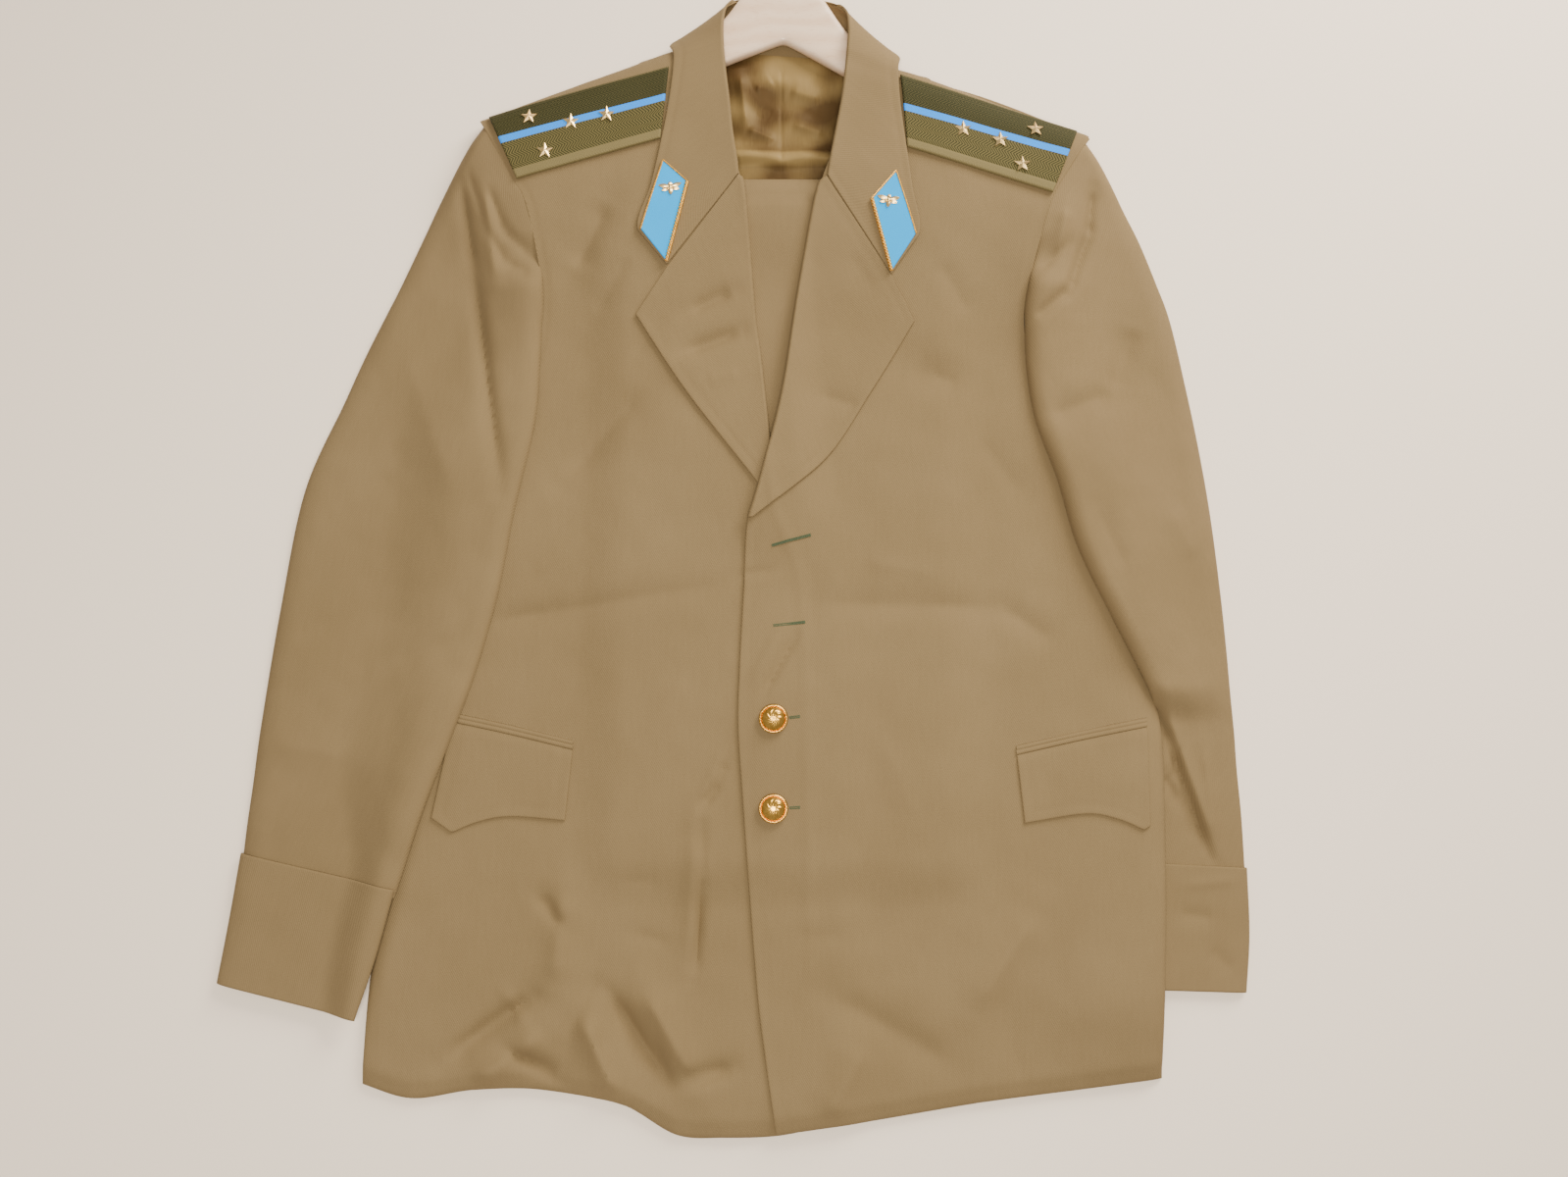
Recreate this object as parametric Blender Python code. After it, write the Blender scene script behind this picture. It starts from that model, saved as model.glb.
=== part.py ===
"""Military dress tunic with its trousers folded over the bar of a wooden hanger, laid flat, front up.

Lengths are millimetres until a mesh is made, then metres. X runs to the viewer's right, Y to the collar,
Z up from the floor. The tables below have their zero midway between the two open buttonholes, and every
mesh is moved from there to the part's origin, the middle of its footprint on the floor. Left and right in
names are the wearer's, so the left front is at the viewer's right and closes over the right front.
"""

import math

import bmesh
import bpy
import numpy as np
from mathutils import Vector

MM = 0.001
ORIGIN_X = -37.0
ORIGIN_Y = 78.0

# Cloth and gaps
CLOTH = 2.4
THIN_CLOTH = 2.0
SATIN = 1.0
SEAM_GAP = 1.5
LAID_GAP = 0.7
LAPEL_GAP = 1.35
COLLAR_CLOTH = 1.8
UNDER_SLEEVE_CLOTH = 1.7
FLAP_CLOTH = 1.6
WELT_CLOTH = 1.3
TAB_CLOTH = 1.1
LEG_CLOTH = 3.0
BACK_LEG_GAP = 0.6
LEG_GAP = 0.4

# Heights of the laid garment's outer face
FLAT_LEVEL = 7.4
LEGS_LEVEL = 13.4
SHOULDER_LEVEL = 27.0
HEM_LEVEL = 6.4
LEGS_HALF_WIDTH = 115.0
LEGS_BOTTOM = -200.0

# Hanger
BAR_Y = 312.0
BAR_RADIUS = 4.0
BAR_HALF_LENGTH = 150.0
HANGER_MIDDLE_Z = 13.3
HANGER_HALF_THICK = 6.5
HANGER_TILT = -0.085
HOOK_WIRE_RADIUS = 1.8

# Metal and braid
STAR_RADIUS = 6.8
BOARD_THICK = 3.0


def table(columns, *rows):
    """Rows of numbers under named columns, one array for each name."""
    return dict(zip(columns.split(), np.array(rows, float).T))


# Edges of the body, each from the hem upwards
LEFT_SIDE = table(
    "x y",
    (283, -420),
    (280, -367),
    (282, -296),
    (283, -224),
    (283, -107),
    (270, -50),
    (255, 10),
    (244, 70),
    (238, 118),
)
LEFT_ARMHOLE = table(
    "x y",
    (238, 118),
    (228, 137),
    (205, 158),
    (193, 185),
    (189, 212),
    (194, 246),
    (203, 280),
    (212, 308),
    (228, 335),
    (243, 358),
)
RIGHT_SIDE = table(
    "x y",
    (-312, -420),
    (-312, -351),
    (-304, -282),
    (-292, -231),
    (-277, -165),
    (-262, -100),
    (-250, -40),
    (-243, 20),
    (-240, 70),
    (-238, 118),
)
RIGHT_ARMHOLE = table(
    "x y",
    (-238, 118),
    (-228, 137),
    (-205, 160),
    (-194, 187),
    (-190, 215),
    (-191, 246),
    (-201, 298),
    (-213, 321),
    (-228, 348),
    (-242, 373),
)
HEM = table(
    "x y",
    (-312, -371),
    (-275, -381),
    (-231, -375),
    (-188, -374),
    (-144, -380),
    (-115, -387),
    (-79, -407),
    (-43, -409),
    (-7, -408),
    (22, -403),
    (72, -396),
    (145, -384),
    (217, -375),
    (280, -367),
)
# The left front's free edge, then its lapel's roll line, then the neck under the collar
LEFT_INNER = table(
    "x y",
    (-6, -406),
    (-14, -352),
    (-21, -295),
    (-31, -166),
    (-35, -107),
    (-34, -62),
    (-31, -2),
    (-28, 51),
    (-15, 89),
    (0, 151),
    (12, 230),
    (26, 308),
    (38, 345),
    (52, 380),
    (70, 408),
)
RIGHT_INNER = table(
    "x y",
    (22, -403),
    (20, -166),
    (18, -60),
    (14, 5),
    (3, 38),
    (-6, 62),
    (-11, 100),
    (-19, 174),
    (-24, 214),
    (-32, 309),
    (-40, 345),
    (-52, 388),
    (-70, 420),
)
LEFT_SHOULDER = table("x y", (70, 408), (92, 418), (159, 401), (235, 369), (243, 358))
RIGHT_SHOULDER = table("x y", (-70, 420), (-92, 433), (-158, 411), (-236, 381), (-242, 373))

# Lapels: roll line upwards, and outer edge from its meeting with the front edge to the point
LEFT_LAPEL = table("x y", (-25, 52), (31, 97), (68, 152), (102, 208), (84, 244))
RIGHT_LAPEL = table("x y", (-7, 62), (-22, 82), (-76, 152), (-116, 213), (-91, 252))
LEFT_GORGE_TOP = (31.0, 321.0)
RIGHT_GORGE_TOP = (-36.0, 322.0)

# Collar: roll and free edge in sections from the wearer's right front round the neck to the left front.
# A height of ON_FRONT is worked out from the front below; behind the neck the heights are as given.
ON_FRONT = 99.0
COLLAR = table(
    "roll_x roll_y roll_z free_x free_y free_z",
    (-37, 324, ON_FRONT, -92, 253, ON_FRONT),
    (-38, 334, ON_FRONT, -115, 280, ON_FRONT),
    (-42, 360, ON_FRONT, -105, 316, ON_FRONT),
    (-45, 388, ON_FRONT, -97, 354, ON_FRONT),
    (-48, 412, ON_FRONT, -91, 389, ON_FRONT),
    (-50, 435, 30, -88, 424, 27.5),
    (-50, 456, 26, -92, 441, 12),
    (-46, 473, 16, -81, 449, 3.5),
    (-33, 482, 2.6, -58, 447, 0),
    (0, 484, 1.0, 0, 432, 0),
    (35, 480, 2.6, 60, 442, 0),
    (50, 468, 16, 82, 440, 3.5),
    (53, 450, 26, 93, 431, 12),
    (52, 430, 30, 91, 414, 27.5),
    (50, 410, ON_FRONT, 92, 386, ON_FRONT),
    (47, 387, ON_FRONT, 96, 352, ON_FRONT),
    (42, 360, ON_FRONT, 101, 314, ON_FRONT),
    (37, 334, ON_FRONT, 106, 276, ON_FRONT),
    (35, 323, ON_FRONT, 84, 245, ON_FRONT),
)
COLLAR_MIDDLE = 9
COLLAR_LAID_UNTIL = 4.0
COLLAR_LAID_FROM = 14.0

# Sleeves: the edge nearer the body and the outer edge, shoulder to cuff seam, with the crown height
RIGHT_SLEEVE = table(
    "in_x in_y out_x out_y crown",
    (-242, 373, -247, 364, 4),
    (-228, 348, -262, 338, 6),
    (-213, 321, -276, 309, 7),
    (-201, 298, -287, 283, 7),
    (-191, 246, -305, 241, 7),
    (-190, 215, -316, 217, 7),
    (-191, 180, -331, 184, 6.5),
    (-194, 129, -346, 147, 6),
    (-208, 60, -374, 77, 6),
    (-220, -9, -389, -16, 6),
    (-238, -77, -400, -106, 6),
    (-256, -129, -404, -150, 6),
    (-272, -168, -407, -180, 6),
    (-295, -235, -409, -206, 6),
)
LEFT_SLEEVE = table(
    "in_x in_y out_x out_y crown",
    (243, 358, 248, 349, 4),
    (228, 335, 262, 324, 6),
    (212, 308, 273, 301, 7),
    (203, 280, 284, 277, 8),
    (194, 246, 296, 244, 9),
    (189, 212, 306, 213, 10),
    (190, 170, 316, 162, 10),
    (196, 130, 324, 116, 10),
    (213, 83, 331, 65, 11),
    (229, 31, 336, 15, 11),
    (256, -24, 340, -40, 10),
    (278, -70, 342, -80, 8),
    (287, -100, 344, -110, 5),
    (284, -126, 345, -140, 3.4),
    (264, -160, 347, -175, 3.2),
    (250, -212, 348, -217, 3.2),
)
RIGHT_CUFF = table(
    "in_x in_y out_x out_y crown",
    (-295.2, -235.6, -409.2, -206.6, 6.6),
    (-306, -280, -416, -252, 6.6),
    (-318, -324, -423, -298, 6),
)
LEFT_CUFF = table(
    "in_x in_y out_x out_y crown",
    (250, -213, 349, -218, 2.2),
    (246, -258, 349, -262, 2.2),
    (243, -302, 345, -305, 2.2),
)

# Shoulder boards and collar tabs, corners in order round the piece
RIGHT_BOARD = table("x y", (-210, 321), (-99.5, 354.5), (-93.5, 414), (-235, 376))
LEFT_BOARD = table("x y", (99, 347), (211, 310), (233, 364), (94.5, 409))
RIGHT_TAB = table("x y", (-92, 255), (-76, 318), (-95, 335), (-112, 280))
LEFT_TAB = table("x y", (84, 247), (103, 276), (88, 326), (69, 304))

# Pocket flaps: top edge and pointed lower edge, front end to side
RIGHT_FLAP_TOP = table("x y", (-160, -125), (-210, -113), (-252, -104))
RIGHT_FLAP_LOW = table("x y", (-165, -178), (-206, -175), (-230, -179), (-250, -187), (-266, -176))
LEFT_FLAP_TOP = table("x y", (176, -129), (225, -118), (274, -108))
LEFT_FLAP_LOW = table("x y", (181, -180), (226, -173), (250, -177), (269, -185), (274, -182))
WELT_WIDTH = 7.0
FLAP_GAP = 0.95

RIGHT_STARS = table("x y", (-201, 371), (-188, 343), (-168, 367), (-140, 373))
LEFT_STARS = table("x y", (198, 361), (187, 332), (170, 352), (141, 361))
BUTTONS = table("x y", (-8, -102), (-8, -169))

# Largest folds of the body: ends, half width across, and height, less than nought for a trough
BODY_FOLDS = table(
    "x0 y0 x1 y1 width height",
    (-40, 2, -226, -27, 13, -1.3),
    (24, -14, 168, -16, 13, -1.2),
    (168, -16, 206, -42, 12, -1.2),
    (-107, 150, -167, 84, 20, -1.6),
    (-138, 305, -166, 250, 16, -2.2),
    (97, 172, 140, 160, 20, -1.6),
    (-46, -135, -64, -180, 9, 1.6),
    (-64, -180, -67, -287, 11, 1.8),
    (-165, -228, -170, -300, 16, 3.2),
    (-182, -231, -164, -258, 9, -1.6),
    (-188, -307, -252, -356, 12, -2.6),
    (-176, -330, -230, -372, 16, 4.5),
    (-207, -345, -165, -362, 10, -2.0),
    (-131, -305, -90, -365, 12, -2.6),
    (-104, -300, -62, -372, 17, 5.5),
    (-150, -318, -122, -378, 14, 5.0),
    (-78, -365, -38, -357, 10, -1.8),
    (32, -305, 124, -357, 16, -2.2),
    (137, -320, 190, -242, 20, 3.2),
    (60, -340, 30, -395, 18, 2.0),
)
RIGHT_SLEEVE_FOLDS = table(
    "x0 y0 x1 y1 width height",
    (-256, 322, -244, 250, 9, -3.0),
    (-244, 250, -221, 84, 9, -2.6),
    (-232, 320, -222, 240, 10, 2.0),
    (-226, 283, -198, 262, 6, -1.6),
    (-222, 266, -198, 245, 6, -1.4),
)
LEFT_SLEEVE_FOLDS = table(
    "x0 y0 x1 y1 width height",
    (239, 312, 232, 256, 8, -2.6),
    (232, 256, 196, 209, 8, -2.6),
    (222, 300, 214, 258, 9, 2.0),
    (276, 208, 256, 151, 16, -2.2),
    (256, 151, 204, 131, 14, -1.8),
    (284, -84, 322, -204, 9, 2.2),
    (300, -150, 312, -196, 8, -1.2),
)


def material(name, colour, roughness, metallic=0.0):
    """A plain finish for one kind of material."""
    made = bpy.data.materials.new(name)
    made.use_nodes = True
    shader = made.node_tree.nodes["Principled BSDF"]
    shader.inputs["Base Color"].default_value = (*colour, 1.0)
    shader.inputs["Roughness"].default_value = roughness
    shader.inputs["Metallic"].default_value = metallic
    return made


def points_of(rows):
    """The x and y columns as an array of points."""
    return np.stack([rows["x"], rows["y"]], axis=1)


def ease(t):
    """0 to 1 with level ends."""
    t = np.clip(t, 0.0, 1.0)
    return t * t * (3.0 - 2.0 * t)


def dome(t):
    """0 to 1 as a quarter ellipse, steep at 0 and level at 1."""
    t = np.clip(t, 0.0, 1.0)
    return np.sqrt(1.0 - (1.0 - t) ** 2)


def smooth_line(points, fractions):
    """Points at fractions of the length of a Catmull-Rom curve through the given points."""
    points = np.asarray(points, float)
    before = 2 * points[0] - points[1]
    after = 2 * points[-1] - points[-2]
    knots = np.vstack([before, points, after])
    steps = np.linspace(0.0, 1.0, 12, endpoint=False)[:, None]
    dense = []
    for a, b, c, d in zip(knots, knots[1:], knots[2:], knots[3:]):
        curve = 2 * b + (c - a) * steps
        curve = curve + (2 * a - 5 * b + 4 * c - d) * steps**2
        curve = curve + (3 * b - a - 3 * c + d) * steps**3
        dense.append(curve / 2)
    dense = np.vstack(dense + [points[-1:]])
    lengths = np.linalg.norm(np.diff(dense, axis=0), axis=1)
    along = np.concatenate([[0.0], np.cumsum(lengths)])
    wanted = np.asarray(fractions) * along[-1]
    return np.stack([np.interp(wanted, along, column) for column in dense.T], axis=1)


def spread(length, step, start=(0.0,), end=(0.0,)):
    """Fractions along a length: the given distances from each end, and even steps between."""
    first = max(start)
    last = length - max(end)
    count = max(2, round((last - first) / step))
    middle = np.linspace(first, last, count + 1)[1:-1]
    places = np.concatenate([sorted(start), middle, length - np.array(sorted(end, reverse=True))])
    return places / length


def coons(low, high, start, finish):
    """A grid of points between four edges: low and high run across, start and finish run up."""
    rows = len(start)
    columns = len(low)
    u = fractions_of(low, high)[None, :, None]
    v = fractions_of(start, finish)[:, None, None]
    across = (1 - u) * start[:, None, :] + u * finish[:, None, :]
    upward = (1 - v) * low[None, :, :] + v * high[None, :, :]
    corners = (1 - u) * (1 - v) * low[0] + u * (1 - v) * low[-1]
    corners = corners + (1 - u) * v * high[0] + u * v * high[-1]
    grid = across + upward - corners
    return grid.reshape(rows, columns, 2)


def fractions_of(one, other):
    """Mean fraction of length at each point of two facing edges."""
    total = 0.0
    for line in (one, other):
        steps = np.concatenate([[0.0], np.cumsum(np.linalg.norm(np.diff(line, axis=0), axis=1))])
        total = total + steps / steps[-1]
    return total / 2


def inside_distance(x, y, outline):
    """Distance inside a closed outline, less than nought outside it."""
    x = np.asarray(x, float)
    y = np.asarray(y, float)
    nearest = np.full(x.shape, 1e9)
    inside = np.zeros(x.shape, bool)
    for (ax, ay), (bx, by) in zip(outline, np.roll(outline, -1, axis=0)):
        length = (bx - ax) ** 2 + (by - ay) ** 2 + 1e-9
        t = np.clip(((x - ax) * (bx - ax) + (y - ay) * (by - ay)) / length, 0, 1)
        nearest = np.minimum(nearest, np.hypot(x - ax - t * (bx - ax), y - ay - t * (by - ay)))
        crosses = (ay > y) != (by > y)
        rise = by - ay if abs(by - ay) > 1e-9 else 1e-9
        inside ^= crosses & (x < ax + (y - ay) * (bx - ax) / rise)
    return np.where(inside, nearest, -nearest)


def cover(x, y, outline, fall, margin=3.0):
    """1 over an outline and a margin round it, easing to 0 over the fall beyond that."""
    return ease(1.0 + (inside_distance(x, y, outline) + margin) / fall)


def fold_height(x, y, folds):
    """Sum of soft ridges and troughs, each along its own straight run."""
    total = np.zeros(np.shape(x))
    for x0, y0, x1, y1, width, height in zip(*folds.values()):
        length = (x1 - x0) ** 2 + (y1 - y0) ** 2
        t = np.clip(((x - x0) * (x1 - x0) + (y - y0) * (y1 - y0)) / length, 0, 1)
        away = np.hypot(x - x0 - t * (x1 - x0), y - y0 - t * (y1 - y0))
        total = total + height * np.exp(-((away / width) ** 2))
    return total


def side_x(rows, y):
    """X of a side edge at a height up the body, opening wide above the underarm."""
    line = smooth_line(points_of(rows), np.linspace(0, 1, 60))
    outward = np.sign(rows["x"][0]) * 6.0 * np.clip(y - 118.0, 0.0, 60.0)
    return np.interp(y, line[:, 1], line[:, 0]) + outward


def shoulder_distance(x, y):
    """Distance below the line of the shoulders."""
    share = ease((x + 60.0) / 120.0)
    top = 473.4 - 15.9 * share
    slope = 0.3907 - 0.0137 * share
    return (top - slope * np.abs(x) - y) * math.cos(math.atan(0.384))


def body_level(x, y):
    """Outer face of the laid body before its edges turn down: legs and hanger lie under it."""
    over_legs = ease((LEGS_HALF_WIDTH + 45.0 - np.abs(x)) / 40.0)
    over_legs = over_legs * ease((y - LEGS_BOTTOM + 45.0) / 40.0)
    level = FLAT_LEVEL + (LEGS_LEVEL - FLAT_LEVEL) * over_legs
    down = shoulder_distance(x, y)
    outer = ease((np.abs(x) - 120.0) / 60.0)
    start = 90.0 - 20.0 * outer
    reach = 150.0 - 20.0 * outer
    level = level + (SHOULDER_LEVEL - level) * (1.0 - ease((down - start) / reach))
    return CLOTH + (level - CLOTH) * dome(down / 28.0)


TUCKED = np.array([(284, -126), (264, -160), (250, -212), (243, -302), (347, -305), (347, -140)], float)
TUCK_LIFT = 6.9
SIDE_TURN = 14.0
HEM_TURN = 15.0


def tuck_lift(x, y):
    """How far the body is lifted by the left cuff that lies under its side."""
    return TUCK_LIFT * cover(x, y, TUCKED, 70.0)


def body_height(x, y):
    """Outer face of the right front, and of the left front where nothing else lies under it."""
    inward = np.minimum(x - side_x(RIGHT_SIDE, y), side_x(LEFT_SIDE, y) - x)
    hem = np.interp(x, HEM["x"], HEM["y"])
    level = body_level(x, y) + fold_height(x, y, BODY_FOLDS)
    level = HEM_LEVEL + (level - HEM_LEVEL) * dome((y - hem) / HEM_TURN)
    level = CLOTH + (level - CLOTH) * dome(inward / SIDE_TURN)
    return level + 1.12 * tuck_lift(x, y)


def front_edges(side):
    """The four edges of a front: hem, shoulder, inner edge and outer edge, as smooth points."""
    if side == "left":
        inner, flank, armhole, shoulder = LEFT_INNER, LEFT_SIDE, LEFT_ARMHOLE, LEFT_SHOULDER
    else:
        inner, flank, armhole, shoulder = RIGHT_INNER, RIGHT_SIDE, RIGHT_ARMHOLE, RIGHT_SHOULDER
    corner = (280.0, -367.0) if side == "left" else (-312.0, -371.0)
    rows = spread(860.0, 26.0, (0.0, 8.0), (0.0, 2.5, 6.0, 11.0, 18.0, 28.0, 42.0))
    columns = spread(290.0, 27.0, (0.0,), (0.0, 4.0, 11.0, 20.0))
    hem_points = [point for point in points_of(HEM) if min(inner["x"][0], corner[0]) < point[0]]
    hem_points = [point for point in hem_points if point[0] < max(inner["x"][0], corner[0])]
    ends = [points_of(inner)[0], np.array(corner)]
    hem_points = sorted([*hem_points, *ends], key=lambda point: abs(point[0] - ends[0][0]))
    low = smooth_line(hem_points, columns)
    high = smooth_line(points_of(shoulder), columns)
    start = smooth_line(points_of(inner), rows)
    outer = np.vstack([np.array([corner]), points_of(flank)[2:], points_of(armhole)[1:]])
    finish = smooth_line(outer, rows)
    return low, high, start, finish


def outline_of(edges):
    """One closed outline from four edges."""
    low, high, start, finish = edges
    return np.vstack([low, finish[1:], high[::-1][1:], start[::-1][1:-1]])


def lapel_outline(rows, gorge_top):
    """Closed outline of a lapel: free edge, gorge and roll line."""
    roll = points_of(LEFT_INNER if gorge_top[0] > 0 else RIGHT_INNER)
    first = points_of(rows)[0]
    roll = [point for point in roll if first[1] < point[1] < gorge_top[1]]
    return np.vstack([points_of(rows), [gorge_top], roll[::-1]])


def left_front_height(x, y):
    """Outer face of the left front, lifted where it lies on the right front and the right lapel."""
    lift = (CLOTH + LAID_GAP) * cover(x, y, outline_of(front_edges("right")), 34.0, 18.0)
    lapel = lapel_outline(RIGHT_LAPEL, RIGHT_GORGE_TOP)
    lift = lift + (THIN_CLOTH + LAPEL_GAP) * cover(x, y, lapel, 34.0, 16.0)
    return body_height(x, y) + lift


def front_height(side, x, y):
    """Outer face of one front."""
    return left_front_height(x, y) if side == "left" else body_height(x, y)


def new_object(name, mesh_builder, finish, smooth=True):
    """An object whose mesh, built in millimetres in the tables' frame, is placed in the part's frame."""
    work = bmesh.new()
    mesh_builder(work)
    for vertex in work.verts:
        vertex.co -= Vector((ORIGIN_X, ORIGIN_Y, 0.0))
        vertex.co *= MM
    bmesh.ops.recalc_face_normals(work, faces=work.faces)
    mesh = bpy.data.meshes.new(name)
    work.to_mesh(mesh)
    work.free()
    mesh.materials.append(finish)
    if smooth:
        mesh.shade_smooth()
        mesh.set_sharp_from_angle(angle=math.radians(50.0))
    made = bpy.data.objects.new(name, mesh)
    bpy.context.scene.collection.objects.link(made)
    return made


def wall(name, outer, inner, finish, ring=False):
    """A closed wall between two grids of points; a ring joins its last column to its first."""
    rows, columns = outer.shape[:2]

    def build(work):
        skins = [[[work.verts.new(point) for point in row] for row in grid] for grid in (outer, inner)]
        last = columns if ring else columns - 1
        for skin in skins:
            for r in range(rows - 1):
                for c in range(last):
                    d = (c + 1) % columns
                    work.faces.new((skin[r][c], skin[r][d], skin[r + 1][d], skin[r + 1][c]))
        for r in (0, rows - 1):
            for c in range(last):
                d = (c + 1) % columns
                work.faces.new((skins[0][r][c], skins[0][r][d], skins[1][r][d], skins[1][r][c]))
        if not ring:
            for c in (0, columns - 1):
                for r in range(rows - 1):
                    work.faces.new(
                        (skins[0][r][c], skins[0][r + 1][c], skins[1][r + 1][c], skins[1][r][c])
                    )

    return new_object(name, build, finish)


def laid_sheet(name, grid, top, thickness, finish):
    """A sheet whose plan is a grid and whose outer face is at the given heights."""
    outer = np.dstack([grid, top])
    inner = outer - np.array([0.0, 0.0, thickness])
    return wall(name, outer, inner, finish)


def patch(corners, across, upward):
    """A plan grid in a quadrilateral, corners in order round it."""
    a, b, c, d = np.asarray(corners, float)
    u = np.linspace(0.0, 1.0, across)[None, :, None]
    v = np.linspace(0.0, 1.0, upward)[:, None, None]
    return (a * (1 - u) + b * u) * (1 - v) + (d * (1 - u) + c * u) * v


def make_back(finish):
    """The back, flat on the floor, lifted over the tucked cuff and over the collar behind the neck."""
    rows = spread(800.0, 40.0, (0.0,), (0.0, 14.0, 28.0, 42.0, 58.0))
    columns = spread(590.0, 56.0, (0.0, 30.0), (0.0, 22.0, 44.0, 68.0, 94.0))
    right_points = np.vstack([[(-306, -366)], points_of(RIGHT_SIDE)[1:] + (6, 0)])
    left_points = np.vstack([[(274, -361)], points_of(LEFT_SIDE)[2:] + (-6, 0)])
    right_points = np.vstack([right_points, points_of(RIGHT_ARMHOLE)[1:-1] + (6, 0), [(-232, 370)]])
    left_points = np.vstack([left_points, points_of(LEFT_ARMHOLE)[1:-1] + (-6, 0), [(233, 355)]])
    hem = points_of(HEM) * (0.98, 1.0) + (0, 6)
    low = smooth_line(np.vstack([right_points[:1], hem[1:-1], left_points[:1]]), columns)
    top = [(-232, 370), (-158, 401), (-90, 428), (-52, 442), (0, 446), (54, 434), (92, 413), (159, 391)]
    high = smooth_line(np.array([*top, (233, 355)], float), columns)
    grid = coons(low, high, smooth_line(right_points, rows), smooth_line(left_points, rows))
    return laid_sheet("back", grid, back_height(grid[..., 0], grid[..., 1]), THIN_CLOTH, finish)


COLLAR_UNDER = np.array([(-84, 440), (-60, 428), (0, 422), (60, 420), (84, 430), (60, 480), (-60, 485)])


def back_height(x, y):
    """Outer (upper) face of the back panel as it lies."""
    return THIN_CLOTH + tuck_lift(x, y) + 3.0 * cover(x, y, COLLAR_UNDER, 30.0)


def make_front(side, finish):
    """One front, from the hem to the shoulder, with its edge at the lapel's roll line."""
    grid = coons(*front_edges(side))
    top = front_height(side, grid[..., 0], grid[..., 1])
    return laid_sheet(f"front_{side}", grid, top, CLOTH, finish)


def make_lapel(side, finish):
    """One lapel, turned over onto its front, from the roll line to the free edge."""
    left = side == "left"
    free = points_of(LEFT_LAPEL if left else RIGHT_LAPEL)
    gorge_top = np.array(LEFT_GORGE_TOP if left else RIGHT_GORGE_TOP)
    inner = points_of(LEFT_INNER if left else RIGHT_INNER)
    roll = [point for point in inner if free[0][1] + 4 < point[1] < gorge_top[1] - 6]
    over = np.array((-2.5, 0.0)) if left else np.array((2.5, 0.0))
    start_point = free[0] + over
    rows = np.linspace(0.0, 1.0, 15)
    columns = np.linspace(0.0, 1.0, 7)
    start = smooth_line(np.vstack([[start_point], np.array(roll) + over, [gorge_top + over]]), rows)
    foot = free[0] + np.array((3.0, 2.0) if left else (-3.0, 0.0))
    finish_edge = smooth_line(np.vstack([[foot], free[1:4]]), rows)
    low = np.linspace(start[0], finish_edge[0], len(columns))
    shift = np.array((0.4, -0.7)) if left else np.array((-0.4, -0.7))
    gorge = np.array([gorge_top + over, free[4] + shift, free[3]])
    high = smooth_corner(gorge, columns)
    grid = coons(low, high, start, finish_edge)
    top = front_height(side, grid[..., 0], grid[..., 1]) + THIN_CLOTH + LAPEL_GAP
    return laid_sheet(f"lapel_{side}", grid, top, THIN_CLOTH, finish)


def smooth_corner(points, fractions):
    """Points along straight runs, for an edge with a real corner in it."""
    points = np.asarray(points, float)
    lengths = np.linalg.norm(np.diff(points, axis=0), axis=1)
    along = np.concatenate([[0.0], np.cumsum(lengths)]) / lengths.sum()
    places = np.array(fractions)
    for mark in along[1:-1]:
        places[np.argmin(abs(places - mark))] = mark
    return np.stack([np.interp(places, along, column) for column in points.T], axis=1)


def collar_height(side, x, y):
    """Outer face of the collar leaf where it lies on a front."""
    return front_height(side, x, y) + THIN_CLOTH + LAID_GAP + 0.6


def collar_grid(across=6):
    """The collar leaf's outer face, section by section round the neck."""
    sections = np.stack(list(COLLAR.values()), axis=1)
    for row in sections:
        side = "right" if row[0] < 0 else "left"
        for first in (0, 3):
            if row[first + 2] == ON_FRONT:
                row[first + 2] = collar_height(side, row[first], row[first + 1])
    marks = np.concatenate([[0.0, 1.0], np.arange(2.0, 16.5, 0.5), [17.0, 18.0]])
    line = np.array([smooth_line_at(sections, mark) for mark in marks])
    u = np.linspace(0.0, 1.0, across)[None, :, None]
    grid = line[:, None, :3] * (1 - u) + line[:, None, 3:] * u
    grid[..., 2] = np.maximum(grid[..., 2], 0.0)
    for r, mark in enumerate(marks):
        side = "right" if mark < COLLAR_MIDDLE else "left"
        if mark <= COLLAR_LAID_UNTIL or mark >= COLLAR_LAID_FROM:
            grid[r, :, 2] = collar_height(side, grid[r, :, 0], grid[r, :, 1])
    return grid


def smooth_line_at(sections, mark):
    """One section between the given ones, by a Catmull-Rom curve through them."""
    last = len(sections) - 1
    low = min(int(mark), last - 1)
    t = mark - low
    a, b = sections[max(low - 1, 0)], sections[low]
    c, d = sections[low + 1], sections[min(low + 2, last)]
    if t == 0.0:
        return b
    value = 2 * b + (c - a) * t + (2 * a - 5 * b + 4 * c - d) * t**2
    return (value + (3 * b - a - 3 * c + d) * t**3) / 2


def make_collar(finish):
    """The collar leaf, turned over at the roll and lying behind the neck at the back."""
    grid = collar_grid()

    def build(work):
        skin = [[work.verts.new(point) for point in row] for row in grid]
        for r in range(len(skin) - 1):
            for c in range(len(skin[0]) - 1):
                work.faces.new((skin[r][c], skin[r][c + 1], skin[r + 1][c + 1], skin[r + 1][c]))

    made = new_object("collar", build, finish)
    thicken = made.modifiers.new("thickness", "SOLIDIFY")
    thicken.thickness = COLLAR_CLOTH * MM
    thicken.offset = -1.0
    thicken.use_even_offset = False
    return made


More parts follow.
